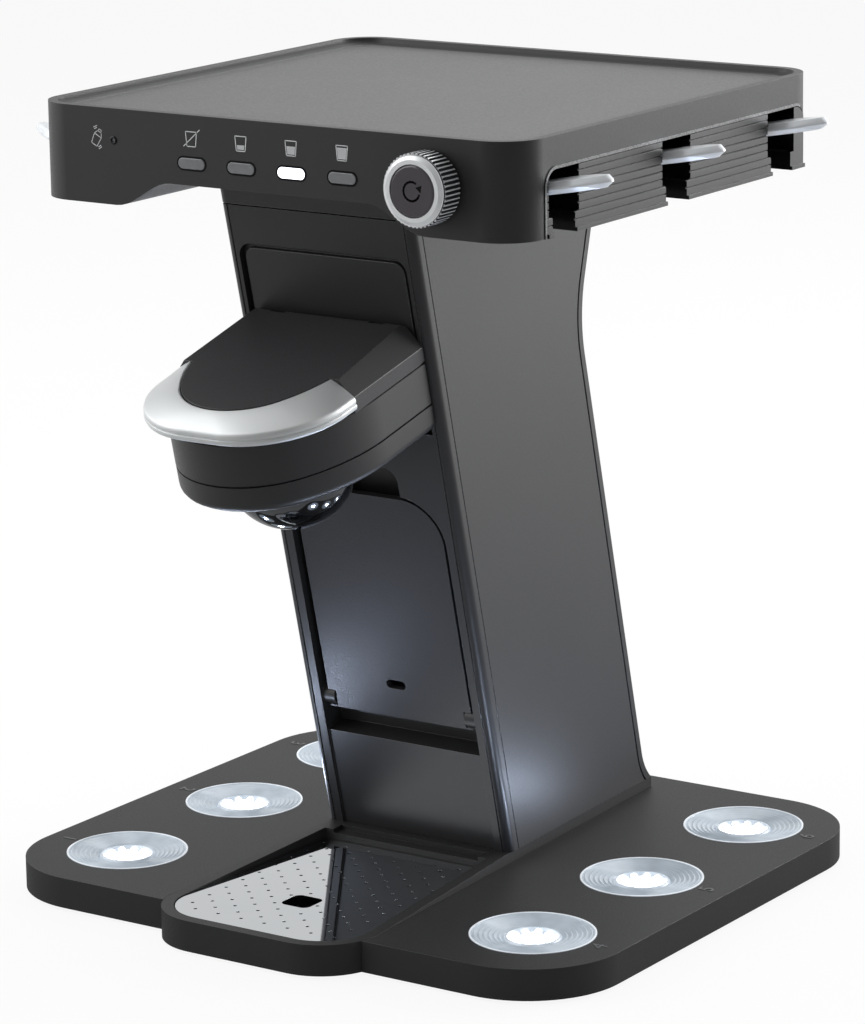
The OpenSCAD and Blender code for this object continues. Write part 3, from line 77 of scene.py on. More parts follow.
# Where most of a noise texture's values lie, and the colour sockets of a Mix node
NOISE_LOW, NOISE_HIGH = 0.3, 0.7
FACTOR, COLOUR_A, COLOUR_B, MIXED = 0, 6, 7, 2


class Side(Enum):
    """The two sides of the machine, by the sign of X."""

    LEFT = -1
    RIGHT = 1

    @property
    def word(self) -> str:
        """Name of the side as the nodes spell it."""
        return self.name.lower()


class Fill(Enum):
    """Drink strength shown by a glass sign, as the filled share of the glass."""

    NONE = 0.0
    LOW = 0.32
    HALF = 0.58
    FULL = 0.82


class Slot(IntEnum):
    """Material slots of a dressed shell."""

    FACE = 0
    EDGE = 1
    INSIDE = 2
    SHADOW = 3


def linear(code: str) -> tuple[float, float, float, float]:
    """Turn an sRGB hex colour into linear RGBA.

    Args:
        code: Colour such as "#2b2b2c".

    Returns:
        The four linear channels, alpha 1.
    """
    parts = [int(code[i:i + 2], 16) / 255.0 for i in (1, 3, 5)]
    turned = [c / 12.92 if c <= 0.04045 else ((c + 0.055) / 1.055) ** 2.4 for c in parts]
    return (turned[0], turned[1], turned[2], 1.0)


def add(tree: Tree, kind: str, sockets: dict[str | int, object] | None = None, **settings: object) -> Node:
    """Add one shader node with its settings, values and links.

    Args:
        tree: Node tree that takes the node.
        kind: Blender's type name of the node.
        sockets: Inputs by name or index, each a value or an output to link.
        settings: Attributes of the node itself.

    Returns:
        The new node.
    """
    made = tree.nodes.new(kind)
    for key, value in settings.items():
        setattr(made, key, value)
    for key, value in (sockets or {}).items():
        if isinstance(value, bpy.types.NodeSocket):
            tree.links.new(value, made.inputs[key])
        else:
            made.inputs[key].default_value = value
    return made


# Finishes


@dataclass(frozen=True)
class Finish:
    """A named material; each kind of finish fills in its own shader."""

    name: str

    def material(self) -> bpy.types.Material:
        """Make the material on its first use.

        Returns:
            The material of this finish.
        """
        known = bpy.data.materials.get(self.name)
        if known and known.get("finished"):
            return known
        mat = bpy.data.materials.new(self.name)
        mat.use_nodes = True
        mat["finished"] = True
        tree = mat.node_tree
        self.dress(tree, tree.nodes["Principled BSDF"])
        return mat

    def dress(self, tree: Tree, shader: Node) -> None:
        """Fill the shader in; the plain finish leaves it."""


@dataclass(frozen=True)
class Grained(Finish):
    """A surface with a fine grain, a cloudy tone and an uneven gloss.

    The grain has one size, or three along X, Y and Z where it runs in lines. With an edge size, the
    shading rounds the sharp edges of a CAD mesh.
    """

    colour: str
    shade: str
    gloss: tuple[float, float]
    grain_mm: float | tuple[float, float, float]
    depth_mm: float
    edge_mm: float = field(default=0.0, kw_only=True)
    cloud_mm: ClassVar[float] = 45.0
    cloud_detail: ClassVar[float] = 3.0
    grain_detail: ClassVar[float] = 2.0
    edge_samples: ClassVar[int] = 4

    def dress(self, tree: Tree, shader: Node) -> None:
        """Give the shader its grain, its cloudy tone and its uneven gloss.

        Args:
            tree: The material's tree.
            shader: Its Principled shader.
        """
        place = add(tree, "ShaderNodeTexCoord").outputs["Object"]
        sizes = self.grain_mm if isinstance(self.grain_mm, tuple) else (self.grain_mm,) * 3
        scale = [1.0 / (size * MM) for size in sizes]
        stretch = add(tree, "ShaderNodeMapping", {"Vector": place, "Scale": scale})
        grain = add(tree, "ShaderNodeTexNoise", {
            "Vector": stretch.outputs["Vector"], "Scale": 1.0, "Detail": self.grain_detail})
        cloud = add(tree, "ShaderNodeTexNoise", {
            "Vector": place, "Scale": 1.0 / (self.cloud_mm * MM), "Detail": self.cloud_detail})
        tone = add(tree, "ShaderNodeMix", {
            FACTOR: cloud.outputs["Fac"], COLOUR_A: linear(self.colour), COLOUR_B: linear(self.shade)},
            data_type="RGBA")
        gloss = add(tree, "ShaderNodeMapRange", {
            "Value": grain.outputs["Fac"], "From Min": NOISE_LOW, "From Max": NOISE_HIGH,
            "To Min": self.gloss[0], "To Max": self.gloss[1]})
        bump = add(tree, "ShaderNodeBump", {
            "Height": grain.outputs["Fac"], "Distance": self.depth_mm * MM})
        if self.edge_mm:
            edge = add(tree, "ShaderNodeBevel", {"Radius": self.edge_mm * MM}, samples=self.edge_samples)
            tree.links.new(edge.outputs["Normal"], bump.inputs["Normal"])
        tree.links.new(tone.outputs[MIXED], shader.inputs["Base Color"])
        tree.links.new(gloss.outputs["Result"], shader.inputs["Roughness"])
        tree.links.new(bump.outputs["Normal"], shader.inputs["Normal"])


@dataclass(frozen=True)
class MouldedPlastic(Grained):
    """Injection-moulded plastic from a spark-eroded or polished tool.

    The eye sees an even colour with a fine grain, slightly uneven gloss and softened edges. The grain is
    drawn coarser than that of a real spark-eroded tool, so that it shows.
    """

    specular: float

    def dress(self, tree: Tree, shader: Node) -> None:
        """Add the strength of the reflection to the grained surface."""
        super().dress(tree, shader)
        shader.inputs["Specular IOR Level"].default_value = self.specular


@dataclass(frozen=True)
class MetalSkin(Grained):
    """Metal, or a plated or metallic-painted skin.

    The eye sees a clean reflection broken by fine brushing lines or flakes and a faint cloudy haze.
    """

    metallic: float = 1.0
    cloud_mm: ClassVar[float] = 30.0
    cloud_detail: ClassVar[float] = 2.0

    def dress(self, tree: Tree, shader: Node) -> None:
        """Add the share of bare metal to the grained surface."""
        super().dress(tree, shader)
        shader.inputs["Metallic"].default_value = self.metallic


@dataclass(frozen=True)
class LitPlastic(Finish):
    """Clear or frosted plastic with a lamp behind it; on the unlit light pipes the faint glow is painted.

    The eye sees a glossy pale face whose glow is a little uneven, as the light spreads in the plastic.
    """

    colour: str
    glow: str
    strength: tuple[float, float]
    gloss: float
    patch_mm: float
    ior: ClassVar[float] = 1.58

    def dress(self, tree: Tree, shader: Node) -> None:
        """Give the shader its gloss and its uneven glow.

        Args:
            tree: The material's tree.
            shader: Its Principled shader.
        """
        place = add(tree, "ShaderNodeTexCoord").outputs["Object"]
        patch = add(tree, "ShaderNodeTexNoise", {
            "Vector": place, "Scale": 1.0 / (self.patch_mm * MM), "Detail": 1.0})
        glow = add(tree, "ShaderNodeMapRange", {
            "Value": patch.outputs["Fac"], "From Min": NOISE_LOW, "From Max": NOISE_HIGH,
            "To Min": self.strength[0], "To Max": self.strength[1]})
        tree.links.new(glow.outputs["Result"], shader.inputs["Emission Strength"])
        shader.inputs["Emission Color"].default_value = linear(self.glow)
        shader.inputs["Base Color"].default_value = linear(self.colour)
        shader.inputs["Roughness"].default_value = self.gloss
        shader.inputs["IOR"].default_value = self.ior


@dataclass(frozen=True)
class CircuitBoard(Finish):
    """Glass-fibre board under green solder mask.

    The eye sees a satin green with paler tracks running square under the mask.
    """

    colour: str
    shade: str
    track: str
    track_mm: float
    track_share: float
    gloss: float

    def dress(self, tree: Tree, shader: Node) -> None:
        """Give the shader its tracks.

        Args:
            tree: The material's tree.
            shader: Its Principled shader.
        """
        place = add(tree, "ShaderNodeTexCoord").outputs["Object"]
        maze = add(tree, "ShaderNodeTexBrick", {
            "Vector": place, "Scale": 1.0 / (self.track_mm * MM), "Mortar Size": self.track_share,
            "Color1": linear(self.colour), "Color2": linear(self.shade), "Mortar": linear(self.track)})
        tree.links.new(maze.outputs["Color"], shader.inputs["Base Color"])
        shader.inputs["Roughness"].default_value = self.gloss


# Main shells: fine spark texture, deep black with a broad soft shine
SHELL = MouldedPlastic("abs_black_spark_textured", "#262627", "#2b2b2c", (0.34, 0.46), 0.9, 0.02, 0.55)
# The same on solids that keep their CAD mesh
SHELL_EDGED = replace(SHELL, name="abs_black_spark_textured_edged", edge_mm=0.5)
# Base: a finer, duller satin with weak reflections
DECK = MouldedPlastic("abs_black_fine_satin", "#262627", "#2b2b2c", (0.46, 0.58), 0.8, 0.012, 0.34)
# Rounded edges: a thin paler and glossier line, a painted highlight
EDGE = MouldedPlastic("abs_black_painted_edge_highlight", "#3a3a3b", "#434344", (0.22, 0.32), 0.9, 0.008, 0.6)
# Rim, rounded edges and bead face of the tray: paler still, a painted highlight
TRAY_EDGE = MouldedPlastic(
    "abs_black_painted_rim_highlight", "#666768", "#707172", (0.22, 0.32), 0.9, 0.006, 0.6)
# Lid: soft satin, a little lifted from black
LID = MouldedPlastic("abs_black_soft_satin", "#343436", "#3a3a3c", (0.44, 0.56), 0.8, 0.012, 0.36)
# Sides of the tray: satin black that mirrors little
TRAY_SIDE = MouldedPlastic(
    "abs_black_satin_moulded", "#29292a", "#2e2e2f", (0.36, 0.48), 0.9, 0.02, 0.36)
# Floor of the tray: matt coarse black texture; its mid grey colour is painted sheen, the light that the
# texture scatters
TRAY_FLOOR = MouldedPlastic(
    "abs_black_matt_textured", "#555556", "#5c5c5d", (0.46, 0.60), 1.1, 0.03, 0.6)
# Dock rails: smoother satin, which shows the ribs
RAIL = MouldedPlastic("abs_black_satin", "#242425", "#29292a", (0.32, 0.42), 0.7, 0.008, 0.5)
# Insides of the docks, foot of the tray's bead and surrounds of the lights: near-black gloss, painted shade
# that reads as a gap; on the push cap it prints the arrow
SHADE_AND_PRINT_BLACK = MouldedPlastic("abs_black_gloss_shade_and_print", "#060606", "#090909", (0.12, 0.2), 0.8, 0.003, 0.35)
# Hidden mouldings: dull black; on the rounded edges of the head's middle and lower shells it is painted
# shade, so that the seams read as dark lines
INNER_AND_SEAM_SHADE = MouldedPlastic(
    "polyamide_black_and_seam_shade", "#121213", "#171718", (0.45, 0.6), 1.2, 0.02, 0.4, edge_mm=0.4)
# Cup shelf: a coarse grain that glitters in the light of the bays
SHELF_FACE = MouldedPlastic(
    "abs_black_coarse_grain", "#242427", "#2a2a2d", (0.30, 0.46), 1.1, 0.11, 0.55)
# Rubber pieces: dead matt
RUBBER = MouldedPlastic(
    "rubber_black_moulded", "#0e0e0e", "#131313", (0.7, 0.85), 0.8, 0.03, 0.3, edge_mm=0.4)
# Push cap: polished smoky grey
SMOKED = MouldedPlastic(
    "acrylic_smoked_polished", "#474348", "#4e4a4f", (0.10, 0.16), 1.0, 0.002, 0.6)
# Silicone pieces: milky, softly shining
HOSE = MouldedPlastic(
    "silicone_translucent_extruded", "#c9c9c2", "#bdbdb4", (0.30, 0.42), 1.5, 0.01, 0.5)
# Printed signs: thin, dull, pale
INK = MouldedPlastic("screen_ink_pale_grey", "#c9cbcc", "#bfc1c2", (0.5, 0.6), 0.6, 0.004, 0.3)
# Raised numbers: paler than the deck
GREY_INK = MouldedPlastic("moulded_raised_figure", "#4e4f50", "#585a5b", (0.3, 0.4), 0.6, 0.004, 0.5)
# Handle: silver paint whose fine flakes spread the light evenly
HANDLE = MetalSkin("abs_silver_metallic_paint", "#e4e6e6", "#dcdfe0", (0.44, 0.54), 0.5, 0.003, 0.75)
# Levers: satin chrome, bright on top and mirroring the black below
LEVER = MetalSkin("zinc_die_cast_satin_chrome", "#eef1f4", "#e4e8ec", (0.30, 0.40), 0.5, 0.003, 0.45)
# Dial: turned and anodised, with faint lines along the axis
TURNED = MetalSkin(
    "aluminium_turned_anodised", "#eff1f2", "#e5e8ea", (0.28, 0.34), (0.35, 2.5, 0.35), 0.0008, 0.5)
# Grooves of the knurl: the same metal, darker with painted shade
GROOVE_SHADE = MetalSkin(
    "aluminium_knurl_groove_shade", "#4c4e51", "#424447", (0.34, 0.44), (0.35, 2.5, 0.35), 0.0008, 0.7)
# Drip plate: a clear mirror with hair-fine polishing lines
MIRROR = MetalSkin(
    "stainless_mirror_polished", "#e3e6e8", "#dde1e4", (0.03, 0.06), (0.4, 6.0, 6.0), 0.0005)
# Nozzle dome: a dark mirror
CHROME = MetalSkin("abs_dark_chrome_plated", "#85878b", "#7c7e82", (0.05, 0.08), 3.0, 0.001)
# Steel pieces: grey sheen with rolling lines
STEEL = MetalSkin(
    "steel_zinc_plated", "#b9bdc0", "#a9aeb2", (0.28, 0.42), (0.5, 4.0, 0.5), 0.004, edge_mm=0.2)
# Screws: dark grey sheen
SCREW = MetalSkin(
    "steel_black_zinc_plated", "#3c3d40", "#303134", (0.3, 0.42), 0.5, 0.004, edge_mm=0.2)
# Alloy cases: dull cast grey
CASE = MetalSkin("aluminium_die_cast", "#a8abae", "#9a9ea2", (0.4, 0.55), 1.0, 0.02, edge_mm=0.4)
# Lens ridges: clear, cool, lit from within
RINGS = LitPlastic("polycarbonate_clear_moulded", "#aab5bf", "#dbe6f1", (0.14, 0.24), 0.22, 9.0)
# Dish round the lamp: brighter
DISH = LitPlastic("polycarbonate_lit_dish", "#b4bfc9", "#eaf1fa", (0.18, 0.36), 0.2, 7.0)
# Rim of the lens: a bright thin line
RIM = LitPlastic("polycarbonate_lit_rim", "#d3dae0", "#f0f5fc", (0.22, 0.42), 0.15, 14.0)
# Lamp in the middle: white
LAMP = LitPlastic("led_lit_diffuser", "#ffffff", "#f2f6ff", (1.6, 2.4), 0.3, 6.0)
# Light pipes, unlit: frosted grey with a faint painted glow
PIPE = LitPlastic("acrylic_frosted_light_pipe", "#6e7072", "#9a9da0", (0.01, 0.06), 0.14, 3.0)
# Light pipe, lit: white
PIPE_LIT = LitPlastic("acrylic_lit_light_pipe", "#ffffff", "#f1f4ff", (2.2, 3.0), 0.3, 3.0)
# Boards: satin green with paler tracks
BOARD = CircuitBoard("fibreglass_green_solder_mask", "#0f3d24", "#0c3520", "#1d6a3d", 6.0, 0.08, 0.35)

SLOT_FINISH: dict[str, Finish] = {
    "black_shell": SHELL_EDGED, "black_rail": RAIL, "dark_inner": INNER_AND_SEAM_SHADE, "rubber": RUBBER,
    "clear_lens": RINGS, "circuit_board": BOARD, "steel": STEEL, "alloy_case": CASE,
    "mirror_steel": MIRROR, "silicone": HOSE, "dark_chrome": CHROME, "silver_handle": HANDLE,
    "silver_lever": LEVER, "light_pipe": PIPE, "light_lit": PIPE_LIT, "dial_metal": TURNED,
    "smoky_cap": SMOKED,
}
NODE_FINISH: dict[str, Finish] = {"cover_screws": SCREW, "base_screws": SCREW}


# Mesh helpers


def at_mm(x: float, y: float, z: float) -> Matrix:
    """Translation given in millimetres."""
    return Matrix.Translation((x * MM, y * MM, z * MM))


def faces_of(verts: Sequence[bmesh.types.BMVert]) -> list[bmesh.types.BMFace]:
    """List the faces round some points, each once."""
    return list(dict.fromkeys(f for v in verts for f in v.link_faces))


def merged(node: str) -> BMesh:
    """Copy a CAD node's mesh and merge its loose triangles into whole faces.

    Args:
        node: Name of the CAD node.

    Returns:
        The merged mesh.
    """
    bm = bmesh.new()
    bm.from_mesh(frame["nodes"][node].data)
    bmesh.ops.remove_doubles(bm, verts=bm.verts, dist=NODE_MERGE)
    bmesh.ops.dissolve_limit(bm, angle_limit=math.radians(FLAT_DEG), verts=bm.verts, edges=bm.edges)
    return bm


def is_hard(edge: bmesh.types.BMEdge) -> bool:
    """Tell whether an edge between two faces is a sharp one."""
    return len(edge.link_faces) == 2 and edge.calc_face_angle(0.0) > math.radians(HARD_DEG)


def rounded(bm: BMesh, edges: Sequence[bmesh.types.BMEdge], width: float, segments: int = 3) -> None:
    """Round some edges of a mesh and put the roundings in the edge slot.

    Args:
        bm: The mesh.
        edges: Its edges to round.
        width: Width of the rounding.
        segments: Facets across the rounding.
    """
    made = bmesh.ops.bevel(bm, geom=list(edges), offset=width * MM, offset_type="OFFSET",
                           segments=segments, profile=0.5, affect="EDGES", clamp_overlap=True,
                           material=-1)
    # The edge slot of most shells takes a paler finish, a painted highlight along the rounding
    for face in made["faces"]:
        face.material_index = Slot.EDGE


def softened(node: str, width: float) -> BMesh:
    """Copy a CAD node's mesh with its sharp edges rounded.

    Args:
        node: Name of the CAD node.
        width: Width of the rounding.

    Returns:
        The merged and rounded mesh.
    """
    bm = merged(node)
    rounded(bm, [e for e in bm.edges if is_hard(e)], width)
    return bm


def stand(name: str, data: bpy.types.ID) -> bpy.types.Object:
    """Put a new object into the scene.

    Args:
        name: Its name.
        data: Its mesh, light, camera or curve.

    Returns:
        The object.
    """
    obj = bpy.data.objects.new(name, data)
    bpy.context.scene.collection.objects.link(obj)
    return obj


def piece(bm: BMesh, name: str, body: str, finish: Finish, nodes: Sequence[str] = (),
          others: Sequence[Finish] = ()) -> None:
    """Turn a finished bmesh into an object that rides on a body.

    Args:
        bm: The mesh; it is freed.
        name: Name of the piece.
        body: CAD body that carries it.
        finish: Its finish.
        nodes: CAD nodes that it replaces.
        others: Finishes of its further material slots.
    """
    mesh = bpy.data.meshes.new(name)
    bm.to_mesh(mesh)
    bm.free()
    mesh.polygons.foreach_set("use_smooth", [True] * len(mesh.polygons))
    mesh.set_sharp_from_angle(angle=math.radians(SMOOTH_DEG))
    for each in (finish, *others):
        mesh.materials.append(each.material())
    obj = stand(name, mesh)
    weigh = obj.modifiers.new("even_normals", "WEIGHTED_NORMAL")
    weigh.keep_sharp = True
    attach(obj, body)
    if nodes:
        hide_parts(*nodes)
    LOG.info("%s rides on %s, %d faces", name, body, len(mesh.polygons))


def soft_skins(body: str, finish: Finish, widths: dict[str, float], edge: Finish = EDGE) -> None:
    """Replace plain shells by soft-edged copies.

    Args:
        body: CAD body that carries the shells.
        finish: Their finish.
        widths: Edge rounding by node.
        edge: Finish of the rounded edges.
    """
    for node, width in widths.items():
        piece(softened(node, width), f"{node}_skin", body, finish, [node], [edge])


def lathe(bm: BMesh, profile: Sequence[Point], steps: int, turn: Matrix) -> None:
    """Spin a profile about its own Z axis and place the result.

    Args:
        bm: Mesh that takes the turned shape.
        profile: Radius and height pairs.
        steps: Facets round the axis.
        turn: Placement, in metres.
    """
    before = set(bm.verts)
    made = [bm.verts.new((r * MM, 0.0, h * MM)) for r, h in profile]
    edges = [bm.edges.new(pair) for pair in zip(made, made[1:])]
    bmesh.ops.spin(bm, geom=made + edges, cent=(0, 0, 0), axis=(0, 0, 1), angle=FULL_TURN, steps=steps,
                   use_merge=True)
    bmesh.ops.remove_doubles(bm, verts=[v for v in bm.verts if v not in before], dist=FINE_MERGE)
    fresh = [v for v in bm.verts if v not in before]
    bmesh.ops.recalc_face_normals(bm, faces=faces_of(fresh))
    bmesh.ops.transform(bm, matrix=turn, verts=fresh)


def stroke(bm: BMesh, start: Point, end: Point, width: float, thick: float, turn: Matrix) -> None:
    """Lay one straight inked line on a surface, a little longer than its points so that lines join.

    Args:
        bm: Mesh that takes the line.
        start: First point on the surface.
        end: Last point.
        width: Width of the line.
        thick: Height of the ink.
        turn: Placement of the surface, whose +Z points outwards.
    """
    overlap = 0.9 * width
    along = Vector(end) - Vector(start)
    middle = (Vector(end) + Vector(start)) / 2.0
    size = Matrix.Diagonal(((along.length + overlap) * MM, width * MM, thick * MM, 1.0))
    spin = Matrix.Rotation(math.atan2(along.y, along.x), 4, "Z")
    bmesh.ops.create_cube(bm, size=1.0, matrix=turn @ at_mm(middle.x, middle.y, 0.0) @ spin @ size)


def pill(bm: BMesh, length: float, height: float, thick: float, edge: float, turn: Matrix) -> None:
    """Build a pill-shaped block with a rounded front.

    Args:
        bm: Mesh that takes the block.
        length: Length of the pill.
        height: Its height.
        thick: Its thickness, from 0 outwards along +Z.
        edge: Rounding of the front edge.
        turn: Placement, in metres.
    """
    verts = bmesh.ops.create_circle(bm, cap_ends=True, segments=PILL_STEPS,
                                    radius=height / 2.0 * MM)["verts"]
    shift = (length - height) / 2.0 * MM
    for v in verts:
        v.co.x += shift if v.co.x > 0 else -shift
    back = next(f for f in bm.faces if set(f.verts) == set(verts))
    lifted = bmesh.ops.extrude_face_region(bm, geom=[back], use_keep_orig=True)
    front = next(g for g in lifted["geom"] if isinstance(g, bmesh.types.BMFace))
    bmesh.ops.translate(bm, vec=(0, 0, thick * MM), verts=front.verts)
    ends = list(back.verts) + list(front.verts)
    softer = bmesh.ops.bevel(bm, geom=list(front.edges), offset=edge * MM, offset_type="OFFSET",
                             segments=PILL_EDGE_STEPS, profile=0.5, affect="EDGES", material=-1)
    every = list(dict.fromkeys([v for v in ends if v.is_valid] + list(softer["verts"])))
    bmesh.ops.recalc_face_normals(bm, faces=faces_of(every))
    bmesh.ops.transform(bm, matrix=turn, verts=every)


# Studio


@dataclass(frozen=True)
class SoftBox:
    """A soft rectangular lamp, by place, size and power."""

    name: str
    spot_m: tuple[float, float, float]
    size_m: tuple[float, float]
    watts: float

    def hang(self, target_m: tuple[float, float, float]) -> None:
        """Hang the lamp so that it looks at a point.

        Args:
            target_m: The point.
        """
        light = bpy.data.lights.new(self.name, "AREA")
        light.shape = "RECTANGLE"
        light.size, light.size_y = self.size_m
        light.energy = self.watts
        holder = stand(self.name, light)
        aim = Vector(target_m) - Vector(self.spot_m)
        turn = aim.to_track_quat("-Z", "Y").to_matrix().to_4x4()
        holder.matrix_world = Matrix.Translation(self.spot_m) @ turn


@dataclass
class Studio:
    """Camera of the photograph's view, soft light, pale floor and white surround.

    The pairs named span are where a level changes, and those named level are its two ends.
    """

    azimuth_deg: float = 34.204
    elevation_deg: float = 13.574
    roll_deg: float = 0.83
    eye_mm: tuple[float, float, float] = (1269.393, -1844.783, 741.526)
    focal_px: float = 4446.727
    image_px: tuple[int, int] = (865, 1024)
    sensor_mm: float = 36.0
    sight_m: float = 20.0
    target_m: tuple[float, float, float] = (0.0, 0.0, 0.22)
    lamps: tuple[SoftBox, ...] = (
        SoftBox("rear_right_softbox", (1.3, 1.9, 0.8), (1.8, 1.2), 42.0),
        SoftBox("left_softbox", (-1.6, -0.95, 1.35), (2.2, 2.2), 28.0),
        SoftBox("top_softbox", (-0.2, 1.0, 1.8), (1.5, 1.5), 14.0))
    bright_side: tuple[float, float, float] = (-0.6, 0.8, 0.0)
    side_span: tuple[float, float] = (-0.9, 0.3)
    studio_level: tuple[float, float] = (0.16, 0.74)
    height_span: tuple[float, float] = (0.08, 0.34)
    height_level: tuple[float, float] = (1.25, 0.9)
    even_level: float = 0.4
    floor_level: tuple[float, float] = (0.14, 1.0)
    shade_span_m: tuple[float, float] = (0.2, 1.3)
    shade_level: tuple[float, float] = (0.35, 1.0)
    white_share: float = 0.9
    floor_half_m: float = 6.0
    floor_gloss: float = 0.9
    fibre_mm: float = 36.0

    def camera(self) -> None:
        """Place the camera."""
        lens = bpy.data.cameras.new("photo_camera")
        lens.sensor_width = self.sensor_mm
        lens.lens = self.focal_px * self.sensor_mm / max(self.image_px)
        lens.clip_end = self.sight_m
        eye = stand("photo_camera", lens)
        turn = (Matrix.Rotation(math.radians(self.azimuth_deg), 4, "Z")
                @ Matrix.Rotation(math.radians(90.0 - self.elevation_deg), 4, "X")
                @ Matrix.Rotation(math.radians(-self.roll_deg), 4, "Z"))
        eye.matrix_world = at_mm(*self.eye_mm) @ turn
        bpy.context.scene.camera = eye

    def surround(self) -> None:
        """Make the world: white to the eye, a shaded studio in reflections, grey for the even light."""
        world = bpy.data.worlds.new("white_surround")
        bpy.context.scene.world = world
        world.use_nodes = True
        tree = world.node_tree
        tree.nodes.clear()
        white = linear("#ffffff")
        path = add(tree, "ShaderNodeLightPath")
        heading = add(tree, "ShaderNodeTexCoord").outputs["Generated"]
        parts = add(tree, "ShaderNodeSeparateXYZ", {"Vector": heading})
        along = add(tree, "ShaderNodeVectorMath", {0: heading, 1: self.bright_side},
                    operation="DOT_PRODUCT")
        # Dark at the front right, which keeps the tray's corner deep black, and paler to the horizon
        sway = add(tree, "ShaderNodeMapRange", {
            "Value": along.outputs["Value"], "From Min": self.side_span[0], "From Max": self.side_span[1],
            "To Min": self.studio_level[0], "To Max": self.studio_level[1]})
        pale = add(tree, "ShaderNodeMapRange", {
            "Value": parts.outputs["Z"], "From Min": self.height_span[0], "From Max": self.height_span[1],
            "To Min": self.height_level[0], "To Max": self.height_level[1]})
        both = add(tree, "ShaderNodeMath", {0: sway.outputs["Result"], 1: pale.outputs["Result"]},
                   operation="MULTIPLY")
        even = add(tree, "ShaderNodeBackground", {"Color": white, "Strength": self.even_level})
        shine = add(tree, "ShaderNodeBackground", {"Color": white, "Strength": both.outputs[0]})
        clear = add(tree, "ShaderNodeBackground", {"Color": white, "Strength": 1.0})
        lit = add(tree, "ShaderNodeMixShader", {
            0: path.outputs["Is Glossy Ray"], 1: even.outputs[0], 2: shine.outputs[0]})
        seen = add(tree, "ShaderNodeMath", {
            0: path.outputs["Is Camera Ray"], 1: path.outputs["Is Transmission Ray"]}, operation="MAXIMUM")
        whole = add(tree, "ShaderNodeMixShader", {0: seen.outputs[0], 1: lit.outputs[0], 2: clear.outputs[0]})
        add(tree, "ShaderNodeOutputWorld", {"Surface": whole.outputs[0]})

    def paper(self) -> bpy.types.Material:
        """Make the floor's paper: white to the eye apart from a share that takes the shadow.

        Returns:
            The material.
        """
        mat = bpy.data.materials.new("pale_paper_sweep")
        mat.use_nodes = True
        tree = mat.node_tree
        shader = tree.nodes["Principled BSDF"]
        path = add(tree, "ShaderNodeLightPath")
        place = add(tree, "ShaderNodeTexCoord").outputs["Object"]
        along = add(tree, "ShaderNodeVectorMath", {0: place, 1: self.bright_side}, operation="DOT_PRODUCT")
        reach = add(tree, "ShaderNodeVectorMath", {0: place}, operation="LENGTH")
        # Reflections find the floor dark at the front right and in the machine's shade
        front = add(tree, "ShaderNodeMapRange", {
            "Value": along.outputs["Value"], "From Min": self.side_span[0], "From Max": self.side_span[1],
            "To Min": self.floor_level[0], "To Max": self.floor_level[1]})
        shade = add(tree, "ShaderNodeMapRange", {
            "Value": reach.outputs["Value"], "From Min": self.shade_span_m[0],
            "From Max": self.shade_span_m[1], "To Min": self.shade_level[0], "To Max": self.shade_level[1]})
        both = add(tree, "ShaderNodeMath", {0: front.outputs["Result"], 1: shade.outputs["Result"]},
                   operation="MULTIPLY")
        level = add(tree, "ShaderNodeMath", {
            0: path.outputs["Is Glossy Ray"], 1: both.outputs[0], 2: path.outputs["Is Camera Ray"]},
            operation="MULTIPLY_ADD")
        # Without a vector the noise counts in widths of the floor
        fibre = add(tree, "ShaderNodeTexNoise", {
            "Scale": 2.0 * self.floor_half_m / (self.fibre_mm * MM), "Detail": 2.0})
        tone = add(tree, "ShaderNodeMix", {
            FACTOR: fibre.outputs["Fac"], COLOUR_A: linear("#f4f4f4"), COLOUR_B: linear("#fafafa")},
            data_type="RGBA")
        tree.links.new(tone.outputs[MIXED], shader.inputs["Base Color"])
        shader.inputs["Roughness"].default_value = self.floor_gloss
        glow = add(tree, "ShaderNodeEmission", {"Color": linear("#ffffff"), "Strength": level.outputs[0]})
        share = add(tree, "ShaderNodeMath", {
            0: path.outputs["Is Camera Ray"], 1: self.white_share, 2: path.outputs["Is Glossy Ray"]},
            operation="MULTIPLY_ADD")
        blend = add(tree, "ShaderNodeMixShader", {
            0: share.outputs[0], 1: shader.outputs[0], 2: glow.outputs[0]})
        tree.links.new(blend.outputs[0], tree.nodes["Material Output"].inputs["Surface"])
        return mat

    def floor(self) -> None:
        """Lay the pale floor."""
        bm = bmesh.new()
        bmesh.ops.create_grid(bm, x_segments=1, y_segments=1, size=self.floor_half_m)
        mesh = bpy.data.meshes.new("pale_floor")
        bm.to_mesh(mesh)
        bm.free()
        mesh.materials.append(self.paper())
        obj = stand("pale_floor", mesh)

    def build(self) -> None:
        """Set the whole studio up."""
        bpy.context.scene.view_settings.view_transform = "Standard"
        self.camera()
        self.surround()
        for lamp in self.lamps:
            lamp.hang(self.target_m)
        self.floor()


# Sub-assemblies


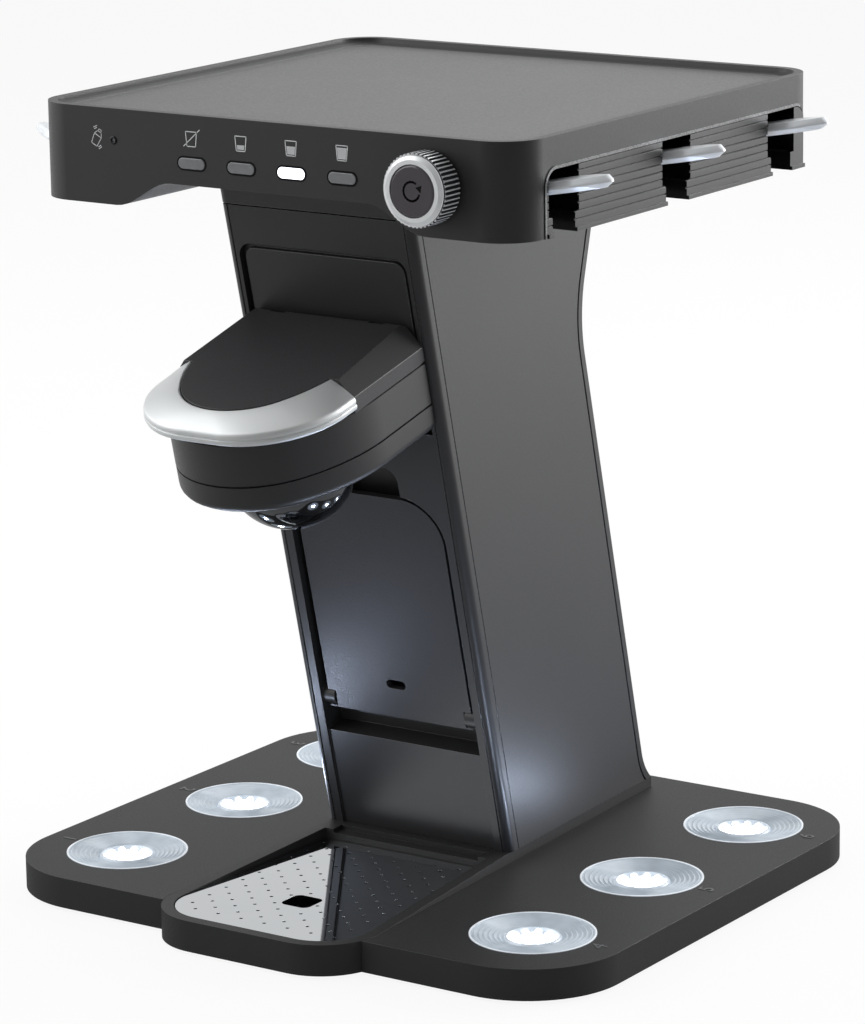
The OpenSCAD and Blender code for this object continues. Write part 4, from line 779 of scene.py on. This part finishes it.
@dataclass
class Base:
    """Wings with the lit bottle bays, drip housing and numbers.

    Lens heights count from the deck. The profiles are pairs of radius and height; the rim's radii count
    from the lens's edge, and a ridge steps inwards and up from its own start.
    """

    edges: dict[str, float] = field(default_factory=lambda: {
        "base_deck": 1.0, "base_pan": 0.5, "plinth": 0.8})
    deck_z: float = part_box("lens_right")[1].z / MM
    lens_r: float = 32.0
    lens_foot: float = -4.6
    lens_steps: int = 96
    dish_steps: int = 64
    bulb_steps: int = 48
    lip_h: float = 0.1
    lip_w: float = 1.4
    rings: int = 6
    ring_pitch: float = 2.5
    ring_start: float = 1.8
    ring_drop: float = 0.25
    ring_fall: float = 0.34
    ridge: tuple[Point, ...] = ((0.0, 0.0), (0.8, 0.5), (1.7, -0.05))
    well: tuple[Point, ...] = ((14.9, -2.9), (14.6, -3.6), (0.0, -3.6))
    rim: tuple[Point, ...] = ((-1.0, 0.0), (-0.9, 0.35), (-0.4, 0.45), (0.0, 0.3), (0.0, 0.0))
    dish: tuple[Point, ...] = (
        (0.0, -3.5), (14.8, -3.5), (14.6, -2.2), (14.0, -1.5), (13.2, -1.4), (12.4, -2.8), (7.6, -3.2),
        (0.0, -3.2))
    bulb: tuple[Point, ...] = (
        (0.0, -3.1), (7.0, -3.1), (6.6, -2.2), (5.0, -1.2), (2.6, -0.7), (0.0, -0.6))
    petals: int = 10
    petal_ring: float = 10.4
    petal_z: float = -2.9
    petal_half: tuple[float, float, float] = (2.5, 1.9, 1.7)
    lamp_r: float = 8.0
    lamp_up: float = 1.0
    lamp_watts: float = 0.12
    lamp_colour: str = "#d3e2ff"
    number_h: float = 12.0
    number_x: float = 166.5
    number_thick: float = 0.15
    number_up: float = 0.1

    def bays(self) -> list[tuple[Side, float, float]]:
        """Find the bays from the lenses' boxes.

        Returns:
            Side and centre of each bay.
        """
        spots = []
        for side in Side:
            low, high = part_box(f"lens_{side.word}")
            x = (low.x + high.x) / 2.0 / MM
            reach = (high.x - low.x) / 2.0
            first, last = (low.y + reach) / MM, (high.y - reach) / MM
            spots += [(side, x, y) for y in (first, (first + last) / 2.0, last)]
        return spots

    def ring_profile(self) -> list[Point]:
        """Draw the dished lens with its ridges.

        Returns:
            The profile, from the axis out below and back in above.
        """
        r = self.lens_r
        line = [(0.0, self.lens_foot), (r, self.lens_foot), (r, self.lip_h), (r - self.lip_w, self.lip_h)]
        for i in range(self.rings):
            start = r - self.ring_start - i * self.ring_pitch
            drop = -self.ring_drop - self.ring_fall * i
            line += [(start - inward, drop + rise) for inward, rise in self.ridge]
        return line + list(self.well)

    def flower(self, bm: BMesh, spot: Matrix) -> None:
        """Set the ring of small lit bumps round a lamp.

        Args:
            bm: Mesh that takes them.
            spot: Place of the lamp.
        """
        bump = at_mm(self.petal_ring, 0.0, self.petal_z) @ Matrix.Diagonal((*self.petal_half, 1.0))
        for k in range(self.petals):
            turn = Matrix.Rotation(FULL_TURN * k / self.petals, 4, "Z")
            bmesh.ops.create_icosphere(bm, subdivisions=2, radius=MM, matrix=spot @ turn @ bump)

    def lenses(self) -> None:
        """Build the ringed lenses, their bright rims and the lamps in their middle."""
        rim = [(self.lens_r + shift, height) for shift, height in self.rim]
        parts = {"rings": (self.ring_profile(), self.lens_steps, RINGS),
                 "rims": (rim, self.lens_steps, RIM),
                 "dishes": (self.dish, self.dish_steps, DISH),
                 "lamps": (self.bulb, self.bulb_steps, LAMP)}
        for side in Side:
            spots = [at_mm(x, y, self.deck_z) for where, x, y in self.bays() if where is side]
            for word, (profile, steps, finish) in parts.items():
                bm = bmesh.new()
                for spot in spots:
                    lathe(bm, profile, steps, spot)
                    if word == "lamps":
                        self.flower(bm, spot)
                nodes = [f"lens_{side.word}"] if word == "rings" else []
                piece(bm, f"lens_{word}_{side.word}", "machine", finish, nodes)

    def glow(self) -> None:
        """Hang a small cool lamp in each lens, which throws the blue sheen on the column and the shelf."""
        for count, (_, x, y) in enumerate(self.bays(), 1):
            light = bpy.data.lights.new(f"bay_lamp_{count}", "AREA")
            light.shape = "DISK"
            light.size = 2.0 * self.lamp_r * MM
            light.energy = self.lamp_watts
            light.color = linear(self.lamp_colour)[:3]
            holder = stand(light.name, light)
            upward = Matrix.Rotation(math.pi, 4, "X")
            holder.matrix_world = at_mm(x, y, self.deck_z + self.lamp_up) @ upward
            holder.visible_camera = False

    def numbers(self) -> None:
        """Stand a plain raised number beside each bay, to be read from its side."""
        for count, (side, _, y) in enumerate(self.bays(), 1):
            curve = bpy.data.curves.new(f"bay_number_{count}", "FONT")
            curve.body = str(count)
            curve.size = self.number_h * MM
            curve.align_x = "CENTER"
            curve.align_y = "CENTER"
            curve.extrude = self.number_thick * MM
            holder = stand(curve.name, curve)
            bpy.context.view_layer.update()
            shown = holder.evaluated_get(bpy.context.evaluated_depsgraph_get())
            mesh = bpy.data.meshes.new_from_object(shown)
            bpy.data.objects.remove(holder)
            bm = bmesh.new()
            bm.from_mesh(mesh)
            bpy.data.meshes.remove(mesh)
            bmesh.ops.remove_doubles(bm, verts=bm.verts, dist=FINE_MERGE)
            turn = Matrix.Rotation(math.radians(90.0 * side.value), 4, "Z")
            place = at_mm(side.value * self.number_x, y, self.deck_z + self.number_up)
            bmesh.ops.transform(bm, matrix=place @ turn, verts=bm.verts)
            piece(bm, f"bay_number_{count}_raised", "machine", GREY_INK)

    def build(self) -> None:
        """Make the whole base."""
        soft_skins("machine", DECK, self.edges)
        self.lenses()
        self.glow()
        self.numbers()


@dataclass
class DripStation:
    """Lift-out drip cup with its mirror plate."""

    cup_edge: float = 0.5
    plate_edge: float = 0.4

    def build(self) -> None:
        """Make the cup and the plate."""
        soft_skins("cup", SHELL, {"drip_cup": self.cup_edge})
        soft_skins("plate", MIRROR, {"drip_plate": self.plate_edge}, MIRROR)


@dataclass
class Column:
    """Leaning column with its side panels, collar and fold-down shelf."""

    edges: dict[str, float] = field(default_factory=lambda: {
        "column_front": 0.8, "side_panel_left": 0.3, "side_panel_right": 0.3, "rear_cover": 0.6,
        "neck_collar": 0.5})
    shelf_edge: float = 0.8

    def build(self) -> None:
        """Make the column and the shelf."""
        soft_skins("machine", SHELL, self.edges)
        soft_skins("shelf", SHELF_FACE, {"cup_shelf": self.shelf_edge})


@dataclass
class Handle:
    """Broad silver band round the front of the lid, lofted in the leaning frame of the column.

    The outer outline is a rounded box. The inner one follows the lid: a round front and, behind the
    joint, two flat arcs as flanks. The nose gives inset and rise of the lower front, from the foot up, and
    the brow gives offset and drop of the edge that meets the lid.
    """

    lean_deg: float = 13.53
    lean_origin: tuple[float, float, float] = (0.0, 4.966, 24.1)
    front: float = -118.6
    half: float = 56.0
    corner: float = 46.0
    back: float = -63.2
    lid_y: float = -68.8
    lid_r: float = 36.4
    joint_y: float = -89.2
    flank_y: float = -44.4
    flank_r: float = 79.9
    flank_x: float = -36.0
    foot: float = 282.9
    lid_top: float = 300.8
    hinge_y: float = -4.5
    slope_deg: float = 2.9
    crown: float = 0.5
    crown_steps: tuple[float, ...] = (0.25, 0.5, 0.75)
    end_edge: float = 0.5
    steps: int = 192
    middle_cos: float = 1e-6
    nose: tuple[Point, ...] = (
        (1.2, 0.0), (0.4, 0.5), (0.0, 1.4), (0.0, 2.6), (0.1, 2.9), (0.6, 3.1), (0.6, 3.4), (0.3, 3.7),
        (0.2, 4.6), (0.3, 5.6), (0.7, 6.5), (1.4, 7.1))
    brow: tuple[Point, ...] = ((1.3, -0.15), (0.6, -0.3), (0.15, -0.7), (0.0, -1.3))

    def side(self, turn: float) -> int:
        """Sign of X at an angle, 0 on the middle line."""
        across = math.cos(turn)
        return (across > self.middle_cos) - (across < -self.middle_cos)

    def outer(self, turn: float, inset: float) -> Point:
        """Find a point of the outer outline.

        Args:
            turn: Angle about the middle of the corner arcs.
            inset: How far the outline is drawn in.

        Returns:
            The point across and along.
        """
        side = self.side(turn)
        r = self.corner - inset
        y = self.front + self.corner + r * math.sin(turn)
        x = side * (self.half - self.corner) + (r * math.cos(turn) if math.sin(turn) < 0.0 else side * r)
        return x, y

    def inner(self, turn: float, offset: float) -> Point:
        """Find a point of the lid's outline.

        Args:
            turn: Angle about the middle of the lid's round front.
            offset: How far the outline is moved out.

        Returns:
            The point across and along.
        """
        r = self.lid_r + offset
        y = self.lid_y + r * math.sin(turn)
        if y < self.joint_y:
            return r * math.cos(turn), y
        reach = math.sqrt(self.flank_r ** 2 - (y - self.flank_y) ** 2)
        return self.side(turn) * (self.flank_x + offset + reach), y

    def roof(self, y: float) -> float:
        """Height of the lid's sloping top."""
        return self.lid_top + (y - self.hinge_y) * math.tan(math.radians(self.slope_deg))

    def section(self, turn: float) -> list[tuple[float, float, float]]:
        """Walk round the band's section at one angle.

        Args:
            turn: Angle about the middle of the lid.

        Returns:
            Points from the inner foot out, over the nose and the band, and back in.
        """
        line = [(*self.inner(turn, 0.0), self.foot)]
        line += [(*self.outer(turn, inset), self.foot + rise) for inset, rise in self.nose]
        spots = [self.inner(turn, offset) for offset, _ in self.brow]
        rim = [(x, y, self.roof(y) + drop) for (x, y), (_, drop) in zip(spots, self.brow)]
        low, high = Vector(line[-1]), Vector(rim[0])
        for t in self.crown_steps:
            swell = Vector((0.0, 0.0, self.crown * math.sin(math.pi * t)))
            line.append(tuple(low.lerp(high, t) + swell))
        return line + rim

    def build(self) -> None:
        """Loft the band through its rings, cut it off behind and lay it on the lid."""
        bm = bmesh.new()
        rings = []
        for k in range(len(self.section(0.0))):
            ring = bmesh.ops.create_circle(bm, segments=self.steps, radius=MM)["verts"]
            for v in ring:
                v.co = Vector(self.section(math.atan2(v.co.y, v.co.x))[k]) * MM
            rings.append(list(dict.fromkeys(e for v in ring for e in v.link_edges)))
        for first, second in zip(rings, rings[1:] + rings[:1]):
            bmesh.ops.bridge_loops(bm, edges=first + second)
        bmesh.ops.bisect_plane(bm, geom=bm.verts[:] + bm.edges[:] + bm.faces[:], clear_outer=True,
                               plane_co=(0.0, self.back * MM, 0.0), plane_no=(0.0, 1.0, 0.0))
        ends = bmesh.ops.holes_fill(bm, edges=[e for e in bm.edges if e.is_boundary])["faces"]
        bmesh.ops.recalc_face_normals(bm, faces=bm.faces)
        bmesh.ops.bevel(bm, geom=list(dict.fromkeys(e for f in ends for e in f.edges)),
                        offset=self.end_edge * MM, offset_type="OFFSET", segments=3, profile=0.5,
                        affect="EDGES", clamp_overlap=True, material=-1)
        place = at_mm(*self.lean_origin) @ Matrix.Rotation(math.radians(self.lean_deg), 4, "X")
        bmesh.ops.transform(bm, matrix=place, verts=bm.verts)
        piece(bm, "lid_handle_skin", "lid", HANDLE, ["lid_handle"])


@dataclass
class Head:
    """Pod head with its lid, broad handle and nozzle dome."""

    panel_edge: float = 0.6
    seams: dict[str, float] = field(default_factory=lambda: {"head_lower": 0.7, "head_mid": 0.7})
    dome_edge: float = 0.5
    lid_edge: float = 0.8
    handle: Handle = field(default_factory=Handle)

    def build(self) -> None:
        """Make the head, whose seams read as dark lines through painted shade on the rounded edges of its
        shells, the lid and the dome.
        """
        soft_skins("machine", SHELL, {"head_panel": self.panel_edge})
        # Painted shade: the rounded edges of these shells take the dull black, so that the seams read as dark
        # lines
        soft_skins("machine", SHELL, self.seams, INNER_AND_SEAM_SHADE)
        soft_skins("machine", CHROME, {"nozzle_dome": self.dome_edge}, CHROME)
        soft_skins("lid", LID, {"lid_shell": self.lid_edge})
        self.handle.build()


@dataclass
class Tray:
    """Square top tray with its recess, bottle docks and silver levers.

    A thin bead runs round the dock openings on both sides: it stands out by bead_out and starts bead_top
    below the rim. The openings of the front panel lie within panel_half and above panel_foot.
    """

    shell_edge: float = 1.2
    fine_edge: float = 0.22
    fine_steps: int = 4
    recess_span: tuple[float, float] = (1.0, 8.0)
    recess_normal_z: float = 0.9
    recess_fillet: float = 2.2
    recess_steps: int = 6
    bead_out: float = 0.5
    bead_top: float = 5.0
    bead_foot: float = 0.01
    bead_shade: float = 0.7
    panel_half: float = 140.0
    panel_foot: float = 17.0
    slack: float = 0.05
    bottom_edge: float = 0.5
    rail_edge: float = 0.7
    liner_depth: float = 2.0
    lever_edge: float = 0.6
    levers: int = 3

    def recess(self, bm: BMesh) -> None:
        """Give the floor of the recess its slot and round its corner with the walls.

        Args:
            bm: Merged mesh of the tray.
        """
        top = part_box("tray_shell")[1].z
        high, low = (top - depth * MM for depth in self.recess_span)
        floor = [f for f in bm.faces
                 if f.normal.z > self.recess_normal_z and low < f.calc_center_median().z < high]
        for face in floor:
            face.material_index = Slot.INSIDE
        corner = list(dict.fromkeys(e for f in floor for e in f.edges if is_hard(e)))
        rounded(bm, corner, self.recess_fillet, self.recess_steps)
        for face in bm.faces:
            if face.material_index != Slot.INSIDE:
                face.material_index = Slot.FACE

    def fine_edges(self, bm: BMesh) -> list[bmesh.types.BMEdge]:
        """Find the sharp edges of the thin bead round the docks and of the front panel's openings.

        Args:
            bm: Merged mesh of the tray.

        Returns:
            The edges where only a small rounding fits.
        """
        low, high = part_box("tray_shell")
        front, side = low.y + self.slack * MM, high.x - (self.bead_out + self.slack) * MM
        top, foot, half = high.z - self.bead_top * MM, low.z + self.panel_foot * MM, self.panel_half * MM
        found = []
        for edge in filter(is_hard, bm.edges):
            spots = [v.co for v in edge.verts]
            bead = all(abs(c.x) > side and c.z < top for c in spots)
            panel = all(c.y < front and abs(c.x) < half and foot < c.z < top for c in spots)
            if bead or panel:
                found.append(edge)
        return found

    def line_bead(self, bm: BMesh) -> None:
        """Put a painted highlight on the bead's face, in the edge slot, and a painted shadow line at its
        foot, in the shadow slot.

        Args:
            bm: Rounded mesh of the tray.
        """
        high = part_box("tray_shell")[1]
        for face in bm.faces:
            spot = face.calc_center_median()
            out = (abs(spot.x) - high.x) / MM + self.bead_out
            # Painted highlight on the bead's face, painted shadow line at its foot
            if spot.z < high.z - self.bead_top * MM and out > self.bead_foot:
                face.material_index = Slot.SHADOW if out < self.bead_out * self.bead_shade else Slot.EDGE

    def shell(self) -> None:
        """Make the tray; the floor of its recess takes a coarser texture whose paler colour is painted sheen,
        its rounded edges a painted highlight and the bead's foot a painted shadow line.
        """
        bm = merged("tray_shell")
        self.recess(bm)
        fine = self.fine_edges(bm)
        small = set(fine)
        rounded(bm, [e for e in bm.edges if is_hard(e) and e not in small], self.shell_edge)
        rounded(bm, [e for e in fine if e.is_valid], self.fine_edge, self.fine_steps)
        self.line_bead(bm)
        # Slots: side, painted highlight on edges and bead, floor with painted sheen, painted shadow at the
        # bead's foot
        piece(bm, "tray_shell_skin", "machine", TRAY_SIDE, ["tray_shell"], [TRAY_EDGE, TRAY_FLOOR, SHADE_AND_PRINT_BLACK])

    def rails(self) -> None:
        """Make the ribbed rails; the insides of the docks take a darker, glossier black as painted shade."""
        for side in Side:
            node = f"dock_rail_{side.word}"
            low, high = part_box(node)
            bm = softened(node, self.rail_edge)
            outer = high.x if side is Side.RIGHT else -low.x
            for face in bm.faces:
                # Painted shade: faces deep inside the docks take the near-black gloss
                if face.calc_center_median().x * side.value < outer - self.liner_depth * MM:
                    face.material_index = Slot.INSIDE
            piece(bm, f"{node}_skin", "machine", RAIL, [node], [EDGE, SHADE_AND_PRINT_BLACK])

    def build(self) -> None:
        """Make the tray, the rails and the levers."""
        self.shell()
        soft_skins("machine", SHELL, {"tray_bottom": self.bottom_edge})
        self.rails()
        for side in Side:
            for k in range(1, self.levers + 1):
                node = f"lever_{side.word}_{k}"
                soft_skins(node, LEVER, {node: self.lever_edge}, LEVER)


@dataclass
class FrontPanel:
    """Level lights, indicator, dial and printed signs on the front of the tray."""

    front_y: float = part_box("tray_shell")[0].y / MM
    pitch: float = 30.2
    lights_n: int = 4
    lit_light: int = 2
    light_l: float = 16.1
    light_h: float = 5.5
    light_z: float = 396.1
    light_out: float = 0.6
    light_edge: float = 0.5
    bezel_more: float = 2.0
    bezel_out: float = 0.15
    bezel_edge: float = 0.05
    indicator_ring: tuple[Point, ...] = (
        (1.0, -0.2), (1.0, 0.35), (1.3, 0.45), (1.7, 0.45), (2.1, 0.3), (2.2, 0.0), (2.2, -0.2), (1.0, -0.2))
    ring_steps: int = 48
    line: float = 0.45
    ink: float = 0.06
    glass_z: float = 408.3
    glass_h: float = 7.3
    glass_top: float = 6.8
    glass_foot: float = 5.3
    slash_left: float = 1.2
    slash_right: float = 1.8
    slash_up: float = 1.2
    fill_rows: int = 9
    fill_inset: float = 0.75
    fill_overlap: float = 1.1
    fill_ink_share: float = 0.8
    shaker: Point = (-104.1, 404.8)
    shaker_tilt_deg: float = -28.0
    shaker_line_share: float = 0.8
    shaker_strokes: tuple[tuple[Point, ...], ...] = (
        ((-1.9, -4.0), (1.9, -4.0), (2.4, 1.2), (1.2, 3.4), (-1.2, 3.4), (-2.4, 1.2), (-1.9, -4.0)),
        ((-2.4, 1.2), (2.4, 1.2)),
        ((-0.9, 3.4), (-0.9, 4.6), (0.9, 4.6), (0.9, 3.4)),
        ((-3.4, 3.2), (-2.4, 4.4)), ((-4.2, 3.6), (-2.8, 5.3)),
        ((3.0, -3.6), (3.8, -2.2)), ((3.6, -4.4), (4.6, -2.6)))
    ring_edge: float = 0.12
    groove: tuple[float, float] = (0.2, 1.0)
    groove_normal_y: float = 0.3
    cap_edge: float = 1.3
    arrow_r: float = 4.6
    arrow_start_deg: float = 60.0
    arrow_step_deg: float = 20.0
    arrow_points: int = 15
    arrow_line: float = 1.1
    tip_r: float = 2.2
    tip_spot: Point = (4.4, 1.6)
    tip_turn_deg: float = 200.0

    def facing(self, x: float, z: float) -> Matrix:
        """Placement on the panel, with X to the right, Y up and Z outwards."""
        upright = Matrix(((1, 0, 0, 0), (0, 0, -1, 0), (0, 1, 0, 0), (0, 0, 0, 1)))
        return at_mm(x, self.front_y, z) @ upright

    def light_x(self, k: int) -> float:
        """Place of a light, and of the sign above it, across the panel."""
        return (k - (self.lights_n - 1) / 2.0) * self.pitch

    def lights(self) -> None:
        """Make the light pipes, one of them lit, and dark surrounds of painted shade, as of a gap, for them
        and for the indicator.
        """
        dull, gap_shade, lit = bmesh.new(), bmesh.new(), bmesh.new()
        for k in range(self.lights_n):
            place = self.facing(self.light_x(k), self.light_z)
            # Painted shade: a near-black surround round each light, as of a gap
            pill(gap_shade, self.light_l + self.bezel_more, self.light_h + self.bezel_more, self.bezel_out,
                 self.bezel_edge, place)
            pill(lit if k == self.lit_light else dull, self.light_l, self.light_h, self.light_out,
                 self.light_edge, place)
        low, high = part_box("indicator_lens")
        middle = (low + high) / 2.0 / MM
        lathe(gap_shade, self.indicator_ring, self.ring_steps, self.facing(middle.x, middle.z))
        piece(gap_shade, "light_painted_gap_shades", "machine", SHADE_AND_PRINT_BLACK)
        piece(dull, "level_lights_frosted", "machine", PIPE, ["level_lights"])
        piece(lit, "level_light_glowing", "machine", PIPE_LIT, ["level_light_lit"])

    def glass(self, bm: BMesh, x: float, fill: Fill) -> None:
        """Print one glass sign with its filling, or struck through where it has none.

        Args:
            bm: Mesh that takes the ink.
            x: Place across the panel.
            fill: How far the glass is filled.
        """
        place = self.facing(x, self.glass_z)
        top, foot, half = self.glass_top / 2.0, self.glass_foot / 2.0, self.glass_h / 2.0
        outline = [(-top, half), (-foot, -half), (foot, -half), (top, half), (-top, half)]
        for start, end in zip(outline, outline[1:]):
            stroke(bm, start, end, self.line, self.ink, place)
        if fill is Fill.NONE:
            stroke(bm, (-top - self.slash_left, -half), (top + self.slash_right, half + self.slash_up),
                   self.line, self.ink, place)
            return
        band = self.glass_h * fill.value / self.fill_rows * self.fill_overlap
        for k in range(self.fill_rows):
            share = fill.value * (k + 0.5) / self.fill_rows
            width = foot + (top - foot) * share - self.fill_inset
            level = -half + self.fill_inset + (self.glass_h - self.fill_inset) * share
            stroke(bm, (-width, level), (width, level), band, self.ink * self.fill_ink_share, place)

    def shaking(self, bm: BMesh) -> None:
        """Print the tilted shaker sign with its motion lines.

        Args:
            bm: Mesh that takes the ink.
        """
        tilt = Matrix.Rotation(math.radians(self.shaker_tilt_deg), 4, "Z")
        place = self.facing(*self.shaker) @ tilt
        for points in self.shaker_strokes:
            for start, end in zip(points, points[1:]):
                stroke(bm, start, end, self.line * self.shaker_line_share, self.ink, place)

    def signs(self) -> None:
        """Print all signs of the panel."""
        bm = bmesh.new()
        for k, fill in enumerate(Fill):
            self.glass(bm, self.light_x(k), fill)
        self.shaking(bm)
        piece(bm, "panel_signs", "machine", INK)

    def dial(self) -> None:
        """Make the knurled ring, whose grooves take painted shade and so look darker than its tips, and the
        push cap.
        """
        low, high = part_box("dial_ring")
        middle, reach = (low + high) / 2.0, (high.x - low.x) / 2.0
        bm = softened("dial_ring", self.ring_edge)
        for face in bm.faces:
            spot = face.calc_center_median() - middle
            sunk = (reach - math.hypot(spot.x, spot.z)) / MM
            # Painted shade: the floors and flanks of the grooves take the darker metal
            groove = self.groove[0] < sunk < self.groove[1] and abs(face.normal.y) < self.groove_normal_y
            face.material_index = Slot.EDGE if groove else Slot.FACE
        piece(bm, "dial_ring_skin", "dial", TURNED, ["dial_ring"], [GROOVE_SHADE])
        soft_skins("cap", SMOKED, {"dial_cap": self.cap_edge}, SMOKED)

    def cap_sign(self) -> None:
        """Print a generic turning arrow on the push cap."""
        low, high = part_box("dial_cap")
        middle = (low + high) / 2.0
        spot = Matrix.Translation((middle.x, low.y, middle.z))
        place = spot @ self.facing(0.0, 0.0).to_3x3().to_4x4()
        bm = bmesh.new()
        turns = [math.radians(self.arrow_start_deg + self.arrow_step_deg * k)
                 for k in range(self.arrow_points)]
        points = [(self.arrow_r * math.cos(a), self.arrow_r * math.sin(a)) for a in turns]
        for start, end in zip(points, points[1:]):
            stroke(bm, start, end, self.arrow_line, self.ink, place)
        tip = at_mm(*self.tip_spot, 0.0) @ Matrix.Rotation(math.radians(self.tip_turn_deg), 4, "Z")
        bmesh.ops.create_cone(bm, cap_ends=True, segments=3, radius1=self.tip_r * MM,
                              radius2=self.tip_r * MM, depth=self.ink * MM, matrix=place @ tip)
        piece(bm, "cap_sign", "cap", SHADE_AND_PRINT_BLACK)

    def build(self) -> None:
        """Make the lights, the signs and the dial."""
        self.lights()
        self.signs()
        self.dial()
        self.cap_sign()


def dress_nodes() -> None:
    """Give every CAD node its own finish or that of its material slot."""
    for part in frame["record"]["subparts"]:
        obj = frame["nodes"][part["node"]]
        obj.data.materials.clear()
        finish = NODE_FINISH.get(part["node"], SLOT_FINISH[part["material_slot"]])
        obj.data.materials.append(finish.material())


def main() -> None:
    logging.basicConfig(level=logging.INFO, format="%(name)s: %(message)s")
    Studio().build()
    dress_nodes()
    for group in (Base(), DripStation(), Column(), Head(), Tray(), FrontPanel()):
        group.build()


if __name__ == "__main__":
    main()
